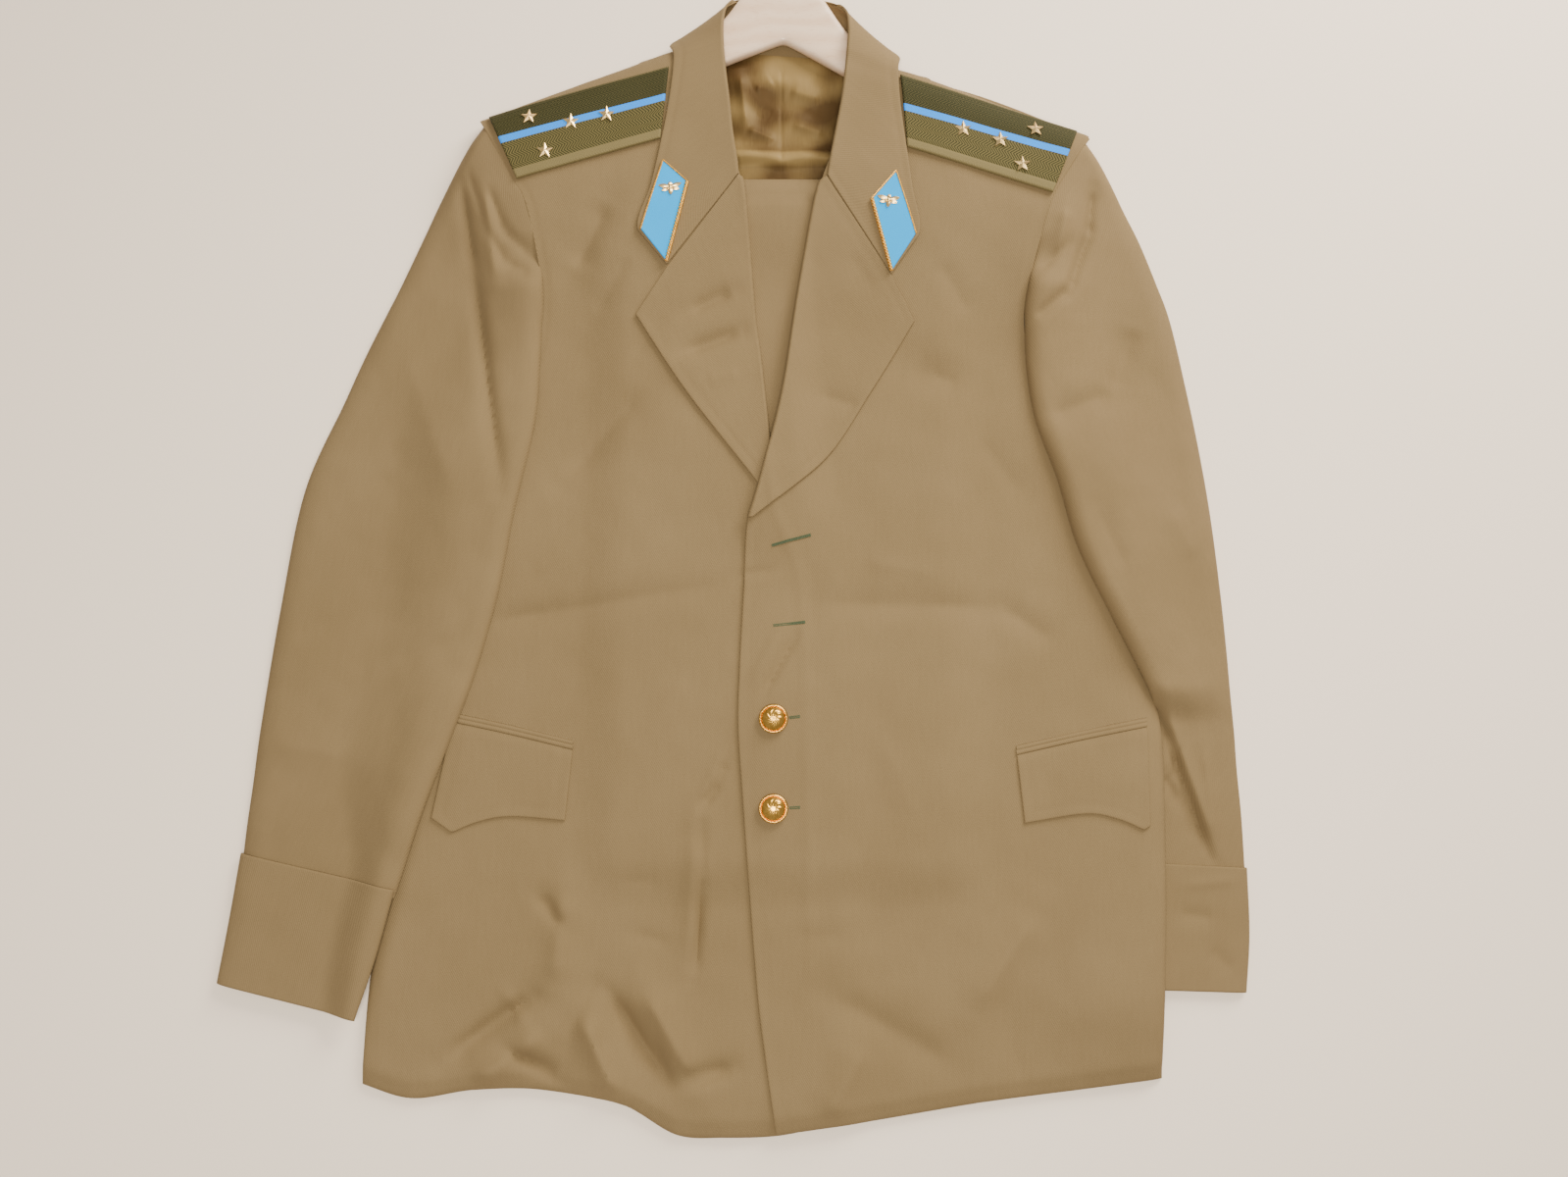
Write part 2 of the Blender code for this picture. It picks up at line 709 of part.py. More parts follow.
def make_collar_stand(finish):
    """The stand behind the neck, from the roll to the neck seam, on the inner side."""
    grid = patch([(-40, 450.5), (41, 445.5), (34, 478), (-32, 479.5)], 7, 3)
    top = np.full(grid.shape[:2], 6.0)
    return laid_sheet("collar_stand", grid, top, 1.5, finish)


def make_neck_lining(finish):
    """The satin lining of the back, seen in the neck between the collar and the trousers."""
    grid = patch([(-62, 317), (62, 317), (50, 430), (-48, 437)], 9, 12)
    x, y = grid[..., 0], grid[..., 1]
    ripple = np.sin((y - 330.0) / 13.0 + 0.02 * x) * ease((y - 322.0) / 12.0) * ease((415.0 - y) / 20.0)
    top = back_height(x, y) + 0.8 + SATIN + 2.1 * np.maximum(ripple, 0.0)
    return laid_sheet("neck_lining", grid, top, SATIN, finish)


def sleeve_grid(rows, fractions, across, inset=(0.0, 0.0)):
    """Plan grid of a sleeve between its two edges, with the crown height of each row."""
    sections = np.stack(list(rows.values()), axis=1)
    line = smooth_line(sections, fractions)
    inner, outer, crown = line[:, 0:2], line[:, 2:4], line[:, 4]
    width = np.linalg.norm(outer - inner, axis=1)
    first = np.minimum(inset[0] / width, 0.45)
    last = 1.0 - np.minimum(inset[1] / width, 0.45)
    u = first[:, None] + (last - first)[:, None] * np.asarray(across)[None, :]
    grid = inner[:, None, :] * (1 - u[..., None]) + outer[:, None, :] * u[..., None]
    return grid, u * width[:, None], (1 - u) * width[:, None], crown[:, None]


def at_armhole(y):
    """1 beside the armhole seam, 0 below it, where the sleeve lies on the body."""
    return ease((y - 232.0) / 50.0)


def sleeve_base(side, x, y):
    """What the sleeve lies on: the body's side, the pocket flap on it, or the floor."""
    there = ease((y + 105.0) / 30.0) if side == "left" else 1.0
    inward = inside_distance(x, y, outline_of(front_edges(side)))
    over = 1.0 - ease((-4.0 - inward) / 30.0)
    base = (body_level(x, y) + tuck_lift(x, y) + 1.3) * over * there
    if side == "right":
        flap = np.vstack([points_of(RIGHT_FLAP_TOP), points_of(RIGHT_FLAP_LOW)[::-1]])
        base = base + 3.2 * cover(x, y, flap, 30.0, 14.0)
    return base * (1.0 - at_armhole(y))


def sleeve_height(side, x, y, from_inner, from_outer, crown):
    """Outer face of a sleeve."""
    folds = LEFT_SLEEVE_FOLDS if side == "left" else RIGHT_SLEEVE_FOLDS
    rest = sleeve_base(side, x, y) + THIN_CLOTH
    seam = at_armhole(y)
    near_seam = seam * (1.0 - ease(from_inner / 80.0))
    level = body_level(x, y) * near_seam + (rest + crown) * (1.0 - near_seam)
    level = level + fold_height(x, y, folds)
    turn = dome(from_inner / 14.0)
    turn = turn + (1.0 - turn) * seam
    return rest + (level - rest) * turn * dome(from_outer / 18.0)


ACROSS_TOP = (0.0, 0.035, 0.09, 0.17, 0.28, 0.4, 0.52, 0.64, 0.76, 0.86, 0.94, 1.0)
ACROSS_UNDER = (0.0, 0.12, 0.25, 0.45, 0.7, 1.0)


def make_sleeve(side, finish):
    """Both pieces of one sleeve: the top sleeve over the flat under sleeve."""
    rows = LEFT_SLEEVE if side == "left" else RIGHT_SLEEVE
    shift = SEAM_GAP if side == "left" else -SEAM_GAP
    grid, from_inner, from_outer, crown = sleeve_grid(rows, np.linspace(0, 1, 27), ACROSS_TOP)
    beside = ease((grid[..., 1] - 206.0) / 14.0)
    grid[..., 0] += shift * beside * (1.0 - ease(from_inner / 20.0))
    x, y = grid[..., 0], grid[..., 1]
    top = sleeve_height(side, x, y, from_inner, from_outer, crown)
    laid_sheet(f"sleeve_{side}_top", grid, top, THIN_CLOTH, finish)
    grid = sleeve_grid(rows, np.linspace(0, 1, 27)[1:], ACROSS_UNDER, (6.0, 6.0))[0]
    low = sleeve_base(side, grid[..., 0], grid[..., 1])
    laid_sheet(f"sleeve_{side}_under", grid, low + UNDER_SLEEVE_CLOTH, UNDER_SLEEVE_CLOTH, finish)


def make_cuff(side, finish):
    """A cuff, all round the end of its sleeve and pressed flat."""
    rows = LEFT_CUFF if side == "left" else RIGHT_CUFF
    skins = []
    for inset, wall_depth in ((0.0, 0.0), (2.2, 1.7)):
        grid, _, _, crown = sleeve_grid(rows, np.linspace(0, 1, 4), ACROSS_TOP, (inset, inset))
        width = np.linalg.norm(grid[:, -1] - grid[:, 0], axis=1)[:, None]
        share = np.array(ACROSS_TOP)[None, :] * width
        x, y = grid[..., 0], grid[..., 1]
        level = 2 * THIN_CLOTH + crown - 2.0 * wall_depth
        base = sleeve_base(side, x, y)
        swell = dome(share / 12.0) * dome((width - share) / 16.0)
        top = base + wall_depth + level * (0.5 + 0.5 * swell)
        low = base + wall_depth + level * (0.5 - 0.5 * swell)
        upper = np.dstack([grid, top])
        lower = np.dstack([grid, low])[:, ::-1][:, 1:-1]
        skins.append(np.concatenate([upper, lower], axis=1))
    return wall(f"cuff_{side}", skins[0], skins[1], finish, ring=True)


def make_flap(side, cloth):
    """A pocket flap with its pointed lower edge, and the welt of its mouth above it."""
    left = side == "left"
    columns = np.linspace(0.0, 1.0, 10)
    high = smooth_line(points_of(LEFT_FLAP_TOP if left else RIGHT_FLAP_TOP), columns)
    low_line = points_of(LEFT_FLAP_LOW if left else RIGHT_FLAP_LOW)
    low = np.stack(
        [np.interp(columns, np.linspace(0, 1, len(low_line)), column) for column in low_line.T], axis=1
    )
    rise = np.linspace(0.0, 1.0, 5)[:, None, None]
    grid = low[None] * (1 - rise) + high[None] * rise
    top = front_height(side, grid[..., 0], grid[..., 1]) + FLAP_GAP + FLAP_CLOTH
    laid_sheet(f"pocket_flap_{side}", grid, top, FLAP_CLOTH, cloth)
    welt = np.stack([high + (0.0, 0.6), high + (0.0, WELT_WIDTH)], axis=0)
    top = front_height(side, welt[..., 0], welt[..., 1]) + FLAP_GAP + WELT_CLOTH
    laid_sheet(f"pocket_welt_{side}", welt, top, WELT_CLOTH, cloth)


def board_height(side, x, y):
    """Outer face of a shoulder board."""
    return front_height(side, x, y) + 0.9 + BOARD_THICK


def make_board(side, braid, gilt):
    """A stiff braided shoulder board with its four stars."""
    corners = points_of(LEFT_BOARD if side == "left" else RIGHT_BOARD)
    grid = patch(corners, 7, 8)
    top = board_height(side, grid[..., 0], grid[..., 1])
    laid_sheet(f"shoulder_board_{side}", grid, top, BOARD_THICK, braid)
    stars = points_of(LEFT_STARS if side == "left" else RIGHT_STARS)
    for number, (x, y) in enumerate(stars, 1):
        make_star(f"star_{side}_{number}", x, y, side, gilt)


def surface_frame(height, x, y):
    """Axes of the surface at a point: two along it and its normal."""
    step = 3.0
    slope_x = (height(x + step, y) - height(x - step, y)) / (2 * step)
    slope_y = (height(x, y + step) - height(x, y - step)) / (2 * step)
    along = Vector((1.0, 0.0, float(slope_x))).normalized()
    normal = along.cross(Vector((0.0, 1.0, float(slope_y)))).normalized()
    return along, normal.cross(along), normal


def make_star(name, x, y, side, gilt):
    """A small five-pointed metal star with a raised middle."""

    def height(px, py):
        return board_height(side, px, py)

    along, up, normal = surface_frame(height, x, y)
    centre = Vector((x, y, float(height(x, y)))) + normal * 0.45

    def build(work):
        rims = []
        for level in (0.0, 0.7):
            rim = []
            for point in range(10):
                turn = math.pi * (0.5 + point / 5.0)
                radius = STAR_RADIUS * (1.0 if point % 2 == 0 else 0.42)
                offset = along * (radius * math.cos(turn)) + up * (radius * math.sin(turn))
                rim.append(work.verts.new(centre + offset + normal * level))
            rims.append(rim)
        peak = work.verts.new(centre + normal * 2.1)
        work.faces.new(rims[0][::-1])
        for a in range(10):
            b = (a + 1) % 10
            work.faces.new((rims[0][a], rims[0][b], rims[1][b], rims[1][a]))
            work.faces.new((rims[1][a], rims[1][b], peak))

    new_object(name, build, gilt, smooth=False)


def make_tab(side, blue, gilt):
    """A cloth tab on the collar's end, with a small plain sprig of metal on it."""
    corners = points_of(LEFT_TAB if side == "left" else RIGHT_TAB)
    grid = patch(corners, 5, 6)

    def height(px, py):
        return collar_height(side, px, py) + LAID_GAP + TAB_CLOTH

    laid_sheet(f"collar_tab_{side}", grid, height(grid[..., 0], grid[..., 1]), TAB_CLOTH, blue)
    upper_end = corners[[2, 3] if side == "left" else [1, 2]].mean(axis=0)
    x, y = upper_end * 0.55 + corners.mean(axis=0) * 0.45
    along, up, normal = surface_frame(height, x, y)
    centre = Vector((x, y, float(height(x, y)))) + normal * 0.5

    def build(work):
        rims = [[], []]
        for step in range(24):
            turn = 2 * math.pi * step / 24
            radius = 4.6 + 2.4 * math.cos(2 * turn) + 0.9 * math.cos(6 * turn)
            for level, rim in enumerate(rims):
                spot = centre + (along * math.cos(turn) + up * math.sin(turn)) * radius
                rim.append(work.verts.new(spot + normal * (0.8 * level)))
        peak = work.verts.new(centre + normal * 1.7)
        work.faces.new(rims[0][::-1])
        for a in range(24):
            b = (a + 1) % 24
            work.faces.new((rims[0][a], rims[0][b], rims[1][b], rims[1][a]))
            work.faces.new((rims[1][a], rims[1][b], peak))

    new_object(f"tab_emblem_{side}", build, gilt, smooth=False)


# Button from its flat underside outwards and over its domed face, radius and height
BUTTON_PROFILE = table(
    "radius height",
    (4.0, 0.0),
    (4.0, 1.6),
    (9.6, 1.8),
    (11.0, 2.6),
    (11.0, 3.6),
    (10.2, 4.3),
    (9.2, 4.1),
    (8.2, 5.2),
    (5.6, 6.6),
    (2.8, 7.3),
)


def make_button(number, x, y, gilt):
    """A domed metal shank button with a raised rim."""
    base = float(left_front_height(x, y)) + 0.5

    def build(work):
        rings = []
        for radius, height in zip(*BUTTON_PROFILE.values()):
            ring = []
            for step in range(16):
                turn = 2 * math.pi * step / 16
                spot = (x + radius * math.cos(turn), y + radius * math.sin(turn), base + height)
                ring.append(work.verts.new(spot))
            rings.append(ring)
        for lower, upper in zip(rings, rings[1:]):
            for a in range(16):
                b = (a + 1) % 16
                work.faces.new((lower[a], lower[b], upper[b], upper[a]))
        work.faces.new(rings[0][::-1])
        work.faces.new(rings[-1])

    new_object(f"button_{number}", build, gilt)


def make_trousers(cloth):
    """The trousers, folded over the bar: one doubled leg in front of it and one behind."""
    front_y = np.array([LEGS_BOTTOM, -120.0, -40.0, 40.0, 120.0, 190.0, 225.0])
    front_y = np.concatenate([front_y, np.arange(240.0, 301.0, 15.0)])
    half = LEG_CLOTH / 2
    loop = BAR_RADIUS + LEG_GAP + half
    back_z = THIN_CLOTH + BACK_LEG_GAP + half
    middle_z = back_z + LEG_CLOTH + LEG_GAP
    bar_z = back_z + loop
    front_z = middle_z + (bar_z + loop - middle_z) * ease((front_y - 225.0) / 80.0)
    turns = np.linspace(math.pi / 2, -math.pi / 2, 9)
    arc = np.stack([BAR_Y + loop * np.cos(turns), bar_z + loop * np.sin(turns)], axis=1)
    back_y = np.array([296.0, 240.0, 160.0, 40.0, -80.0, LEGS_BOTTOM + 12.0])
    back = np.stack([back_y, np.full(len(back_y), back_z)], axis=1)
    path = np.vstack([np.stack([front_y, front_z], axis=1), arc, back])
    tangent = np.gradient(path, axis=0)
    tangent = tangent / np.linalg.norm(tangent, axis=1)[:, None]
    normal = np.stack([-tangent[:, 1], tangent[:, 0]], axis=1)
    xs = np.linspace(-LEGS_HALF_WIDTH, LEGS_HALF_WIDTH, 5)
    skins = []
    for offset in (half, -half):
        line = path + normal * offset
        skin = np.array([[(x, y, z) for x in xs] for y, z in line])
        skins.append(skin)
    return wall("trousers", skins[0], skins[1], cloth)


HANGER_UPPER = table(
    "x y",
    (0, 503),
    (14, 500),
    (30, 483),
    (48, 457),
    (75, 427),
    (110, 404),
    (160, 383),
    (215, 361),
)


def make_hanger(wood):
    """The wooden arms and the raised middle, one piece of constant thickness with rounded edges."""
    half = [0.0, 8.0, 16.0, 25.0, 35.0, 48.0, 62.0, 80.0, 105.0, 140.0, 175.0, 203.0, 213.0, 216.0]
    half = np.array(half)
    xs = np.concatenate([-half[::-1], half[1:]])
    upper = smooth_line(points_of(HANGER_UPPER), np.linspace(0, 1, 60))
    high = np.interp(np.abs(xs), upper[:, 0], upper[:, 1])
    low = 441.0 - 0.5 * np.abs(xs)
    closing = dome((216.6 - np.abs(xs)) / 12.0)
    middle = (high + low) / 2
    width = (high - low) / 2 * closing
    turns = np.linspace(0, 2 * math.pi, 12, endpoint=False)
    rings = []
    for x, centre, reach, close in zip(xs, middle, width, closing):
        ring = []
        for turn in turns:
            across = math.copysign(abs(math.cos(turn)) ** 0.6, math.cos(turn))
            rise = math.copysign(abs(math.sin(turn)) ** 0.8, math.sin(turn))
            thick = HANGER_HALF_THICK * (0.45 + 0.55 * close)
            ring.append((x, centre + reach * across + HANGER_TILT * x, HANGER_MIDDLE_Z + thick * rise))
        rings.append(ring)

    def build(work):
        made = [[work.verts.new(point) for point in ring] for ring in rings]
        for first, second in zip(made, made[1:]):
            for a in range(12):
                b = (a + 1) % 12
                work.faces.new((first[a], first[b], second[b], second[a]))
        work.faces.new(made[0][::-1])
        work.faces.new(made[-1])

    return new_object("hanger", build, wood)


def make_rod(name, points, radius, metal):
    """A round rod along a smooth path."""
    curve = bpy.data.curves.new(name, "CURVE")
    curve.dimensions = "3D"
    curve.bevel_depth = radius * MM
    curve.bevel_resolution = 2
    curve.use_fill_caps = True
    spline = curve.splines.new("POLY")
    spline.points.add(len(points) - 1)
    for spot, point in zip(spline.points, points):
        x, y, z = point
        spot.co = ((x - ORIGIN_X) * MM, (y - ORIGIN_Y) * MM, z * MM, 1.0)
    curve.materials.append(metal)
    made = bpy.data.objects.new(name, curve)
    bpy.context.scene.collection.objects.link(made)
    return made


def make_bar_and_hook(metal):
    """The bar that holds the trousers, bent up into the arms, and the hook above the middle."""
    bar_z = THIN_CLOTH + BACK_LEG_GAP + LEG_CLOTH + LEG_GAP + BAR_RADIUS
    points = []
    for side in (-1, 1):
        corner = BAR_HALF_LENGTH * side
        meet = 441.0 - 0.5 * (BAR_HALF_LENGTH + 12.0) + HANGER_TILT * (BAR_HALF_LENGTH + 12.0) * side
        leg = [(corner + 12.0 * side, meet - 2.8, bar_z), (corner + 12.0 * side, BAR_Y + 12.0, bar_z)]
        for turn in np.linspace(0.2, 1.0, 5) * math.pi / 2:
            spot = (corner + 12.0 * side * math.cos(turn), BAR_Y + 12.0 - 12.0 * math.sin(turn), bar_z)
            leg.append(spot)
        points.extend(leg if side < 0 else leg[::-1])
    make_rod("hanger_bar", points, BAR_RADIUS, metal)
    hook = [(0.0, 503.6, HANGER_MIDDLE_Z), (0.0, 512.0, HANGER_MIDDLE_Z), (-4.0, 518.0, HANGER_MIDDLE_Z)]
    radius = 20.0
    for turn in np.linspace(math.radians(240.0), math.radians(-20.0), 22):
        spot = (radius * math.cos(turn), 543.2 + radius * math.sin(turn), HANGER_MIDDLE_Z)
        hook.append(spot)
    make_rod("hanger_hook", hook, HOOK_WIRE_RADIUS, metal)


def main():
    for old in list(bpy.data.objects):
        bpy.data.objects.remove(old, do_unlink=True)
    cloth = material("khaki_cloth", (0.20, 0.14, 0.07), 0.85)
    satin = material("satin_lining", (0.24, 0.17, 0.06), 0.35)
    braid = material("olive_braid", (0.10, 0.09, 0.03), 0.75)
    blue = material("blue_cloth", (0.05, 0.38, 0.62), 0.8)
    gilt = material("gilt_metal", (0.85, 0.58, 0.22), 0.25, 1.0)
    wood = material("beech_wood", (0.68, 0.45, 0.28), 0.45)
    steel = material("steel_rod", (0.6, 0.6, 0.6), 0.3, 1.0)
    make_back(cloth)
    make_neck_lining(satin)
    make_trousers(cloth)
    make_hanger(wood)
    make_bar_and_hook(steel)
    make_collar_stand(cloth)
    make_collar(cloth)
    for side in ("right", "left"):
        make_front(side, cloth)
        make_lapel(side, cloth)
        make_sleeve(side, cloth)
        make_cuff(side, cloth)
        make_flap(side, cloth)
        make_board(side, braid, gilt)
        make_tab(side, blue, gilt)
    for number, (x, y) in enumerate(points_of(BUTTONS), 1):
        make_button(number, x, y, gilt)


main()
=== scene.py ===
"""Military dress tunic with its trousers on a wooden hanger, laid flat: the finish of every surface.

Lengths are millimetres on the tailor's table, with zero midway between the two open buttonholes, until a mesh
is made. X runs to the viewer's right, Y to the collar and Z up. Left and right in names are the wearer's.
"""

import math

import bmesh
import bpy
import numpy as np
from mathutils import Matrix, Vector, noise


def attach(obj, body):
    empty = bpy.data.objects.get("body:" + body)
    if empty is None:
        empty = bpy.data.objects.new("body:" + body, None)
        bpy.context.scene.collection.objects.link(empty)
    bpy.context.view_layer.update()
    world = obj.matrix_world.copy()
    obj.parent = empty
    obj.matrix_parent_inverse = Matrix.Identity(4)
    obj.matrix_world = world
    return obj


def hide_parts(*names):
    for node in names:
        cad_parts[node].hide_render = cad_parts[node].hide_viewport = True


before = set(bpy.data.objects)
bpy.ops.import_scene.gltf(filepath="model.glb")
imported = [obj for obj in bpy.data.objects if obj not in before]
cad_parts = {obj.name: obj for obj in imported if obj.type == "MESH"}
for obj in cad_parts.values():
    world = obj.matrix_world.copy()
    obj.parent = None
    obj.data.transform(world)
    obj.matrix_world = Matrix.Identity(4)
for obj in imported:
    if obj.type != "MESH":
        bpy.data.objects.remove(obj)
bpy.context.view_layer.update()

# The camera looks down at the tunic from just below its middle, as a standing person would hold it.
# A pale floor takes the place of what the tunic lies on. One soft lamp hangs by the camera and a
# broader one stands beyond the wearer's left shoulder, so that the folds show.
MM = 0.001
TABLE_ZERO = np.array([-37.0, 78.0, 0.0])
TILT = math.radians(8.0)
CAMERA_DISTANCE = 1.216
PICTURE_WIDTH = 1599.0
FOCAL_PIXELS = 1600.0
FLOOR_COLOUR = (0.98, 0.83, 0.67, 1.0)


def lamp(name, place, aim, size, power, colour):
    """A square soft lamp at a place, turned to a point on the garment."""
    light = bpy.data.lights.new(name, "AREA")
    light.size = size
    light.energy = power
    light.color = colour
    made = bpy.data.objects.new(name, light)
    made.location = place
    made.rotation_euler = (Vector(aim) - Vector(place)).to_track_quat("-Z", "Y").to_euler()
    bpy.context.scene.collection.objects.link(made)


camera_data = bpy.data.cameras.new("camera")
camera_data.sensor_width = 36.0
camera_data.lens = 36.0 * FOCAL_PIXELS / PICTURE_WIDTH
camera = bpy.data.objects.new("camera", camera_data)
camera.location = (
    -TABLE_ZERO[0] * MM,
    -CAMERA_DISTANCE * math.sin(TILT) - TABLE_ZERO[1] * MM,
    CAMERA_DISTANCE * math.cos(TILT),
)
camera.rotation_euler = (TILT, 0.0, 0.0)
bpy.context.scene.collection.objects.link(camera)
bpy.context.scene.camera = camera

lamp("lamp_by_camera", (0.02, -0.42, 1.58), (0.0, -0.1, 0.0), 0.45, 27.0, (1.0, 0.96, 0.89))
lamp("lamp_from_shoulder", (0.90, 1.20, 0.88), (0.0, 0.05, 0.0), 0.9, 46.0, (1.0, 0.95, 0.87))

sky = bpy.data.worlds.new("studio")
sky.use_nodes = True
sky.node_tree.nodes["Background"].inputs["Color"].default_value = (0.95, 0.93, 0.90, 1.0)
sky.node_tree.nodes["Background"].inputs["Strength"].default_value = 0.5
bpy.context.scene.world = sky

floor_mesh = bpy.data.meshes.new("floor")
floor_mesh.from_pydata([(-4, -4, 0), (4, -4, 0), (4, 4, 0), (-4, 4, 0)], [], [(0, 1, 2, 3)])
floor = bpy.data.objects.new("floor", floor_mesh)
bpy.context.scene.collection.objects.link(floor)
floor_paint = bpy.data.materials.new("floor")
floor_paint.use_nodes = True
floor_shader = floor_paint.node_tree.nodes["Principled BSDF"].inputs
floor_shader["Base Color"].default_value = FLOOR_COLOUR
floor_shader["Roughness"].default_value = 0.9
floor_mesh.materials.append(floor_paint)

# The hanger's arms are one piece of beech, sawn to a bow with a raised middle, rounded over at its
# edges and lacquered. Only the middle shows, in the neck of the tunic.
HANGER_BOW_X = [0, 14, 30, 48, 75, 110, 160, 215]
HANGER_BOW_Y = [503, 500, 483, 457, 427, 404, 383, 361]
HANGER_REACH = 216.0
HANGER_MIDDLE_Z = 13.3
HANGER_HALF_THICK = 6.5
HANGER_TILT = -0.085
HANGER_NOTCH_Y = 441.0
ARM_SIDES = 32
# How square the arms' section is: 1 for round, less for squarer
ARM_ROUNDNESS = 0.45
BEECH = (0.90, 0.68, 0.48, 1.0)
BEECH_DARK = (0.70, 0.46, 0.28, 1.0)


class Wire:
    """A value of a shader, which sums and products in Python turn into Math nodes."""

    def __init__(self, socket):
        self.socket = socket

    def sum_of(self, operation, first, second=0.0):
        tree = self.socket.node.id_data
        made = tree.nodes.new("ShaderNodeMath")
        made.operation = operation
        for place, value in zip(made.inputs, (first, second)):
            if isinstance(value, Wire):
                tree.links.new(value.socket, place)
            else:
                place.default_value = value
        return Wire(made.outputs[0])

    def __add__(self, other):
        return self.sum_of("ADD", self, other)

    def __sub__(self, other):
        return self.sum_of("SUBTRACT", self, other)

    def __rsub__(self, other):
        return self.sum_of("SUBTRACT", other, self)

    def __mul__(self, other):
        return self.sum_of("MULTIPLY", self, other)

    def __gt__(self, other):
        return self.sum_of("GREATER_THAN", self, other)

    def __abs__(self):
        return self.sum_of("ABSOLUTE", self)

    __radd__ = __add__
    __rmul__ = __mul__

    def wave(self):
        return self.sum_of("SINE", self)

    def fold_back(self, size):
        return self.sum_of("PINGPONG", self, size)

    def at_most_one(self):
        return self.sum_of("MINIMUM", self.sum_of("MAXIMUM", self, 0.0), 1.0)


class Finish:
    """A material in the making: its node tree and its one shader."""

    def __init__(self, name, **fixed):
        self.material = bpy.data.materials.new(name)
        self.material.use_nodes = True
        self.tree = self.material.node_tree
        self.shader = self.tree.nodes["Principled BSDF"]
        for socket, value in fixed.items():
            self.shader.inputs[socket.replace("_", " ")].default_value = value

    def node(self, kind, settings=None, values=None, output=0):
        made = self.tree.nodes.new(kind)
        for key, value in (settings or {}).items():
            setattr(made, key, value)
        for key, value in (values or {}).items():
            if isinstance(value, Wire):
                self.tree.links.new(value.socket, made.inputs[key])
            else:
                made.inputs[key].default_value = value
        return Wire(made.outputs[output])

    def across(self, source):
        """The three parts of a vector."""
        made = self.tree.nodes.new("ShaderNodeSeparateXYZ")
        self.tree.links.new(source.socket, made.inputs[0])
        return [Wire(made.outputs[part]) for part in range(3)]

    def noise(self, where, scale, detail=2.0, stretch=None, shift=None):
        if stretch or shift:
            moves = {"Scale": stretch or (1.0, 1.0, 1.0), "Location": shift or (0.0, 0.0, 0.0)}
            where = self.node("ShaderNodeMapping", {}, {"Vector": where, **moves})
        return self.node("ShaderNodeTexNoise", {}, {"Vector": where, "Scale": scale, "Detail": detail})

    def between(self, share, low, high):
        """A colour between two others."""
        return self.node("ShaderNodeMix", {"data_type": "RGBA"}, {0: share, 6: low, 7: high}, 2)

    def colour(self, value):
        self.tree.links.new(value.socket, self.shader.inputs["Base Color"])

    def roughness(self, value):
        self.tree.links.new(value.socket, self.shader.inputs["Roughness"])

    def relief(self, millimetres):
        """Small heights as a bump."""
        bump = self.node("ShaderNodeBump", {}, {"Height": millimetres, "Distance": MM, "Strength": 1.0})
        self.tree.links.new(bump.socket, self.shader.inputs["Normal"])


def ease(t):
    """0 to 1 with level ends."""
    t = np.clip(t, 0.0, 1.0)
    return t * t * (3.0 - 2.0 * t)


def dome(t):
    """0 to 1 as a quarter ellipse, steep at 0 and level at 1."""
    t = np.clip(t, 0.0, 1.0)
    return np.sqrt(1.0 - (1.0 - t) ** 2)


def length_run(line):
    """Length from the start of a line to each of its points."""
    return np.concatenate([[0.0], np.cumsum(np.linalg.norm(np.diff(line, axis=0), axis=1))])


def points_at(line, along, places):
    """Points of a line at the given places, where along is the place of each of its own points."""
    return np.stack([np.interp(places, along, column) for column in line.T], axis=1)


def unit(vectors):
    """Each row at a length of one."""
    return vectors / np.linalg.norm(vectors, axis=1)[:, None]


def smooth_line(points, fractions):
    """Points at fractions of the length of a smooth curve through the given points."""
    points = np.asarray(points, float)
    knots = np.vstack([2 * points[0] - points[1], points, 2 * points[-1] - points[-2]])
    steps = np.linspace(0.0, 1.0, 12, endpoint=False)[:, None]
    dense = []
    for a, b, c, d in zip(knots, knots[1:], knots[2:], knots[3:]):
        curve = 2 * b + (c - a) * steps
        curve = curve + (2 * a - 5 * b + 4 * c - d) * steps**2
        curve = curve + (3 * b - a - 3 * c + d) * steps**3
        dense.append(curve / 2)
    dense = np.vstack(dense + [points[-1:]])
    along = length_run(dense)
    return points_at(dense, along, np.asarray(fractions) * along[-1])


def quads(rows, columns, ring=False):
    """Faces of a grid of points; a ring joins its last column to its first."""
    r, c = np.meshgrid(np.arange(rows - 1), np.arange(columns if ring else columns - 1), indexing="ij")
    low, high, d = r * columns, (r + 1) * columns, (c + 1) % columns
    return np.stack([low + c, low + d, high + d, high + c], axis=-1).reshape(-1, 4)


def end_caps(rings, sides):
    """The two faces that close a tube of rings."""
    return [list(range(sides))[::-1], list(range((rings - 1) * sides, rings * sides))]


def between_corners(corners, u, v):
    """Plan grid between four corners, given in order round them; u runs across and v runs up."""
    return (corners[0] * (1 - u) + corners[1] * u) * (1 - v) + (corners[3] * (1 - u) + corners[2] * u) * v


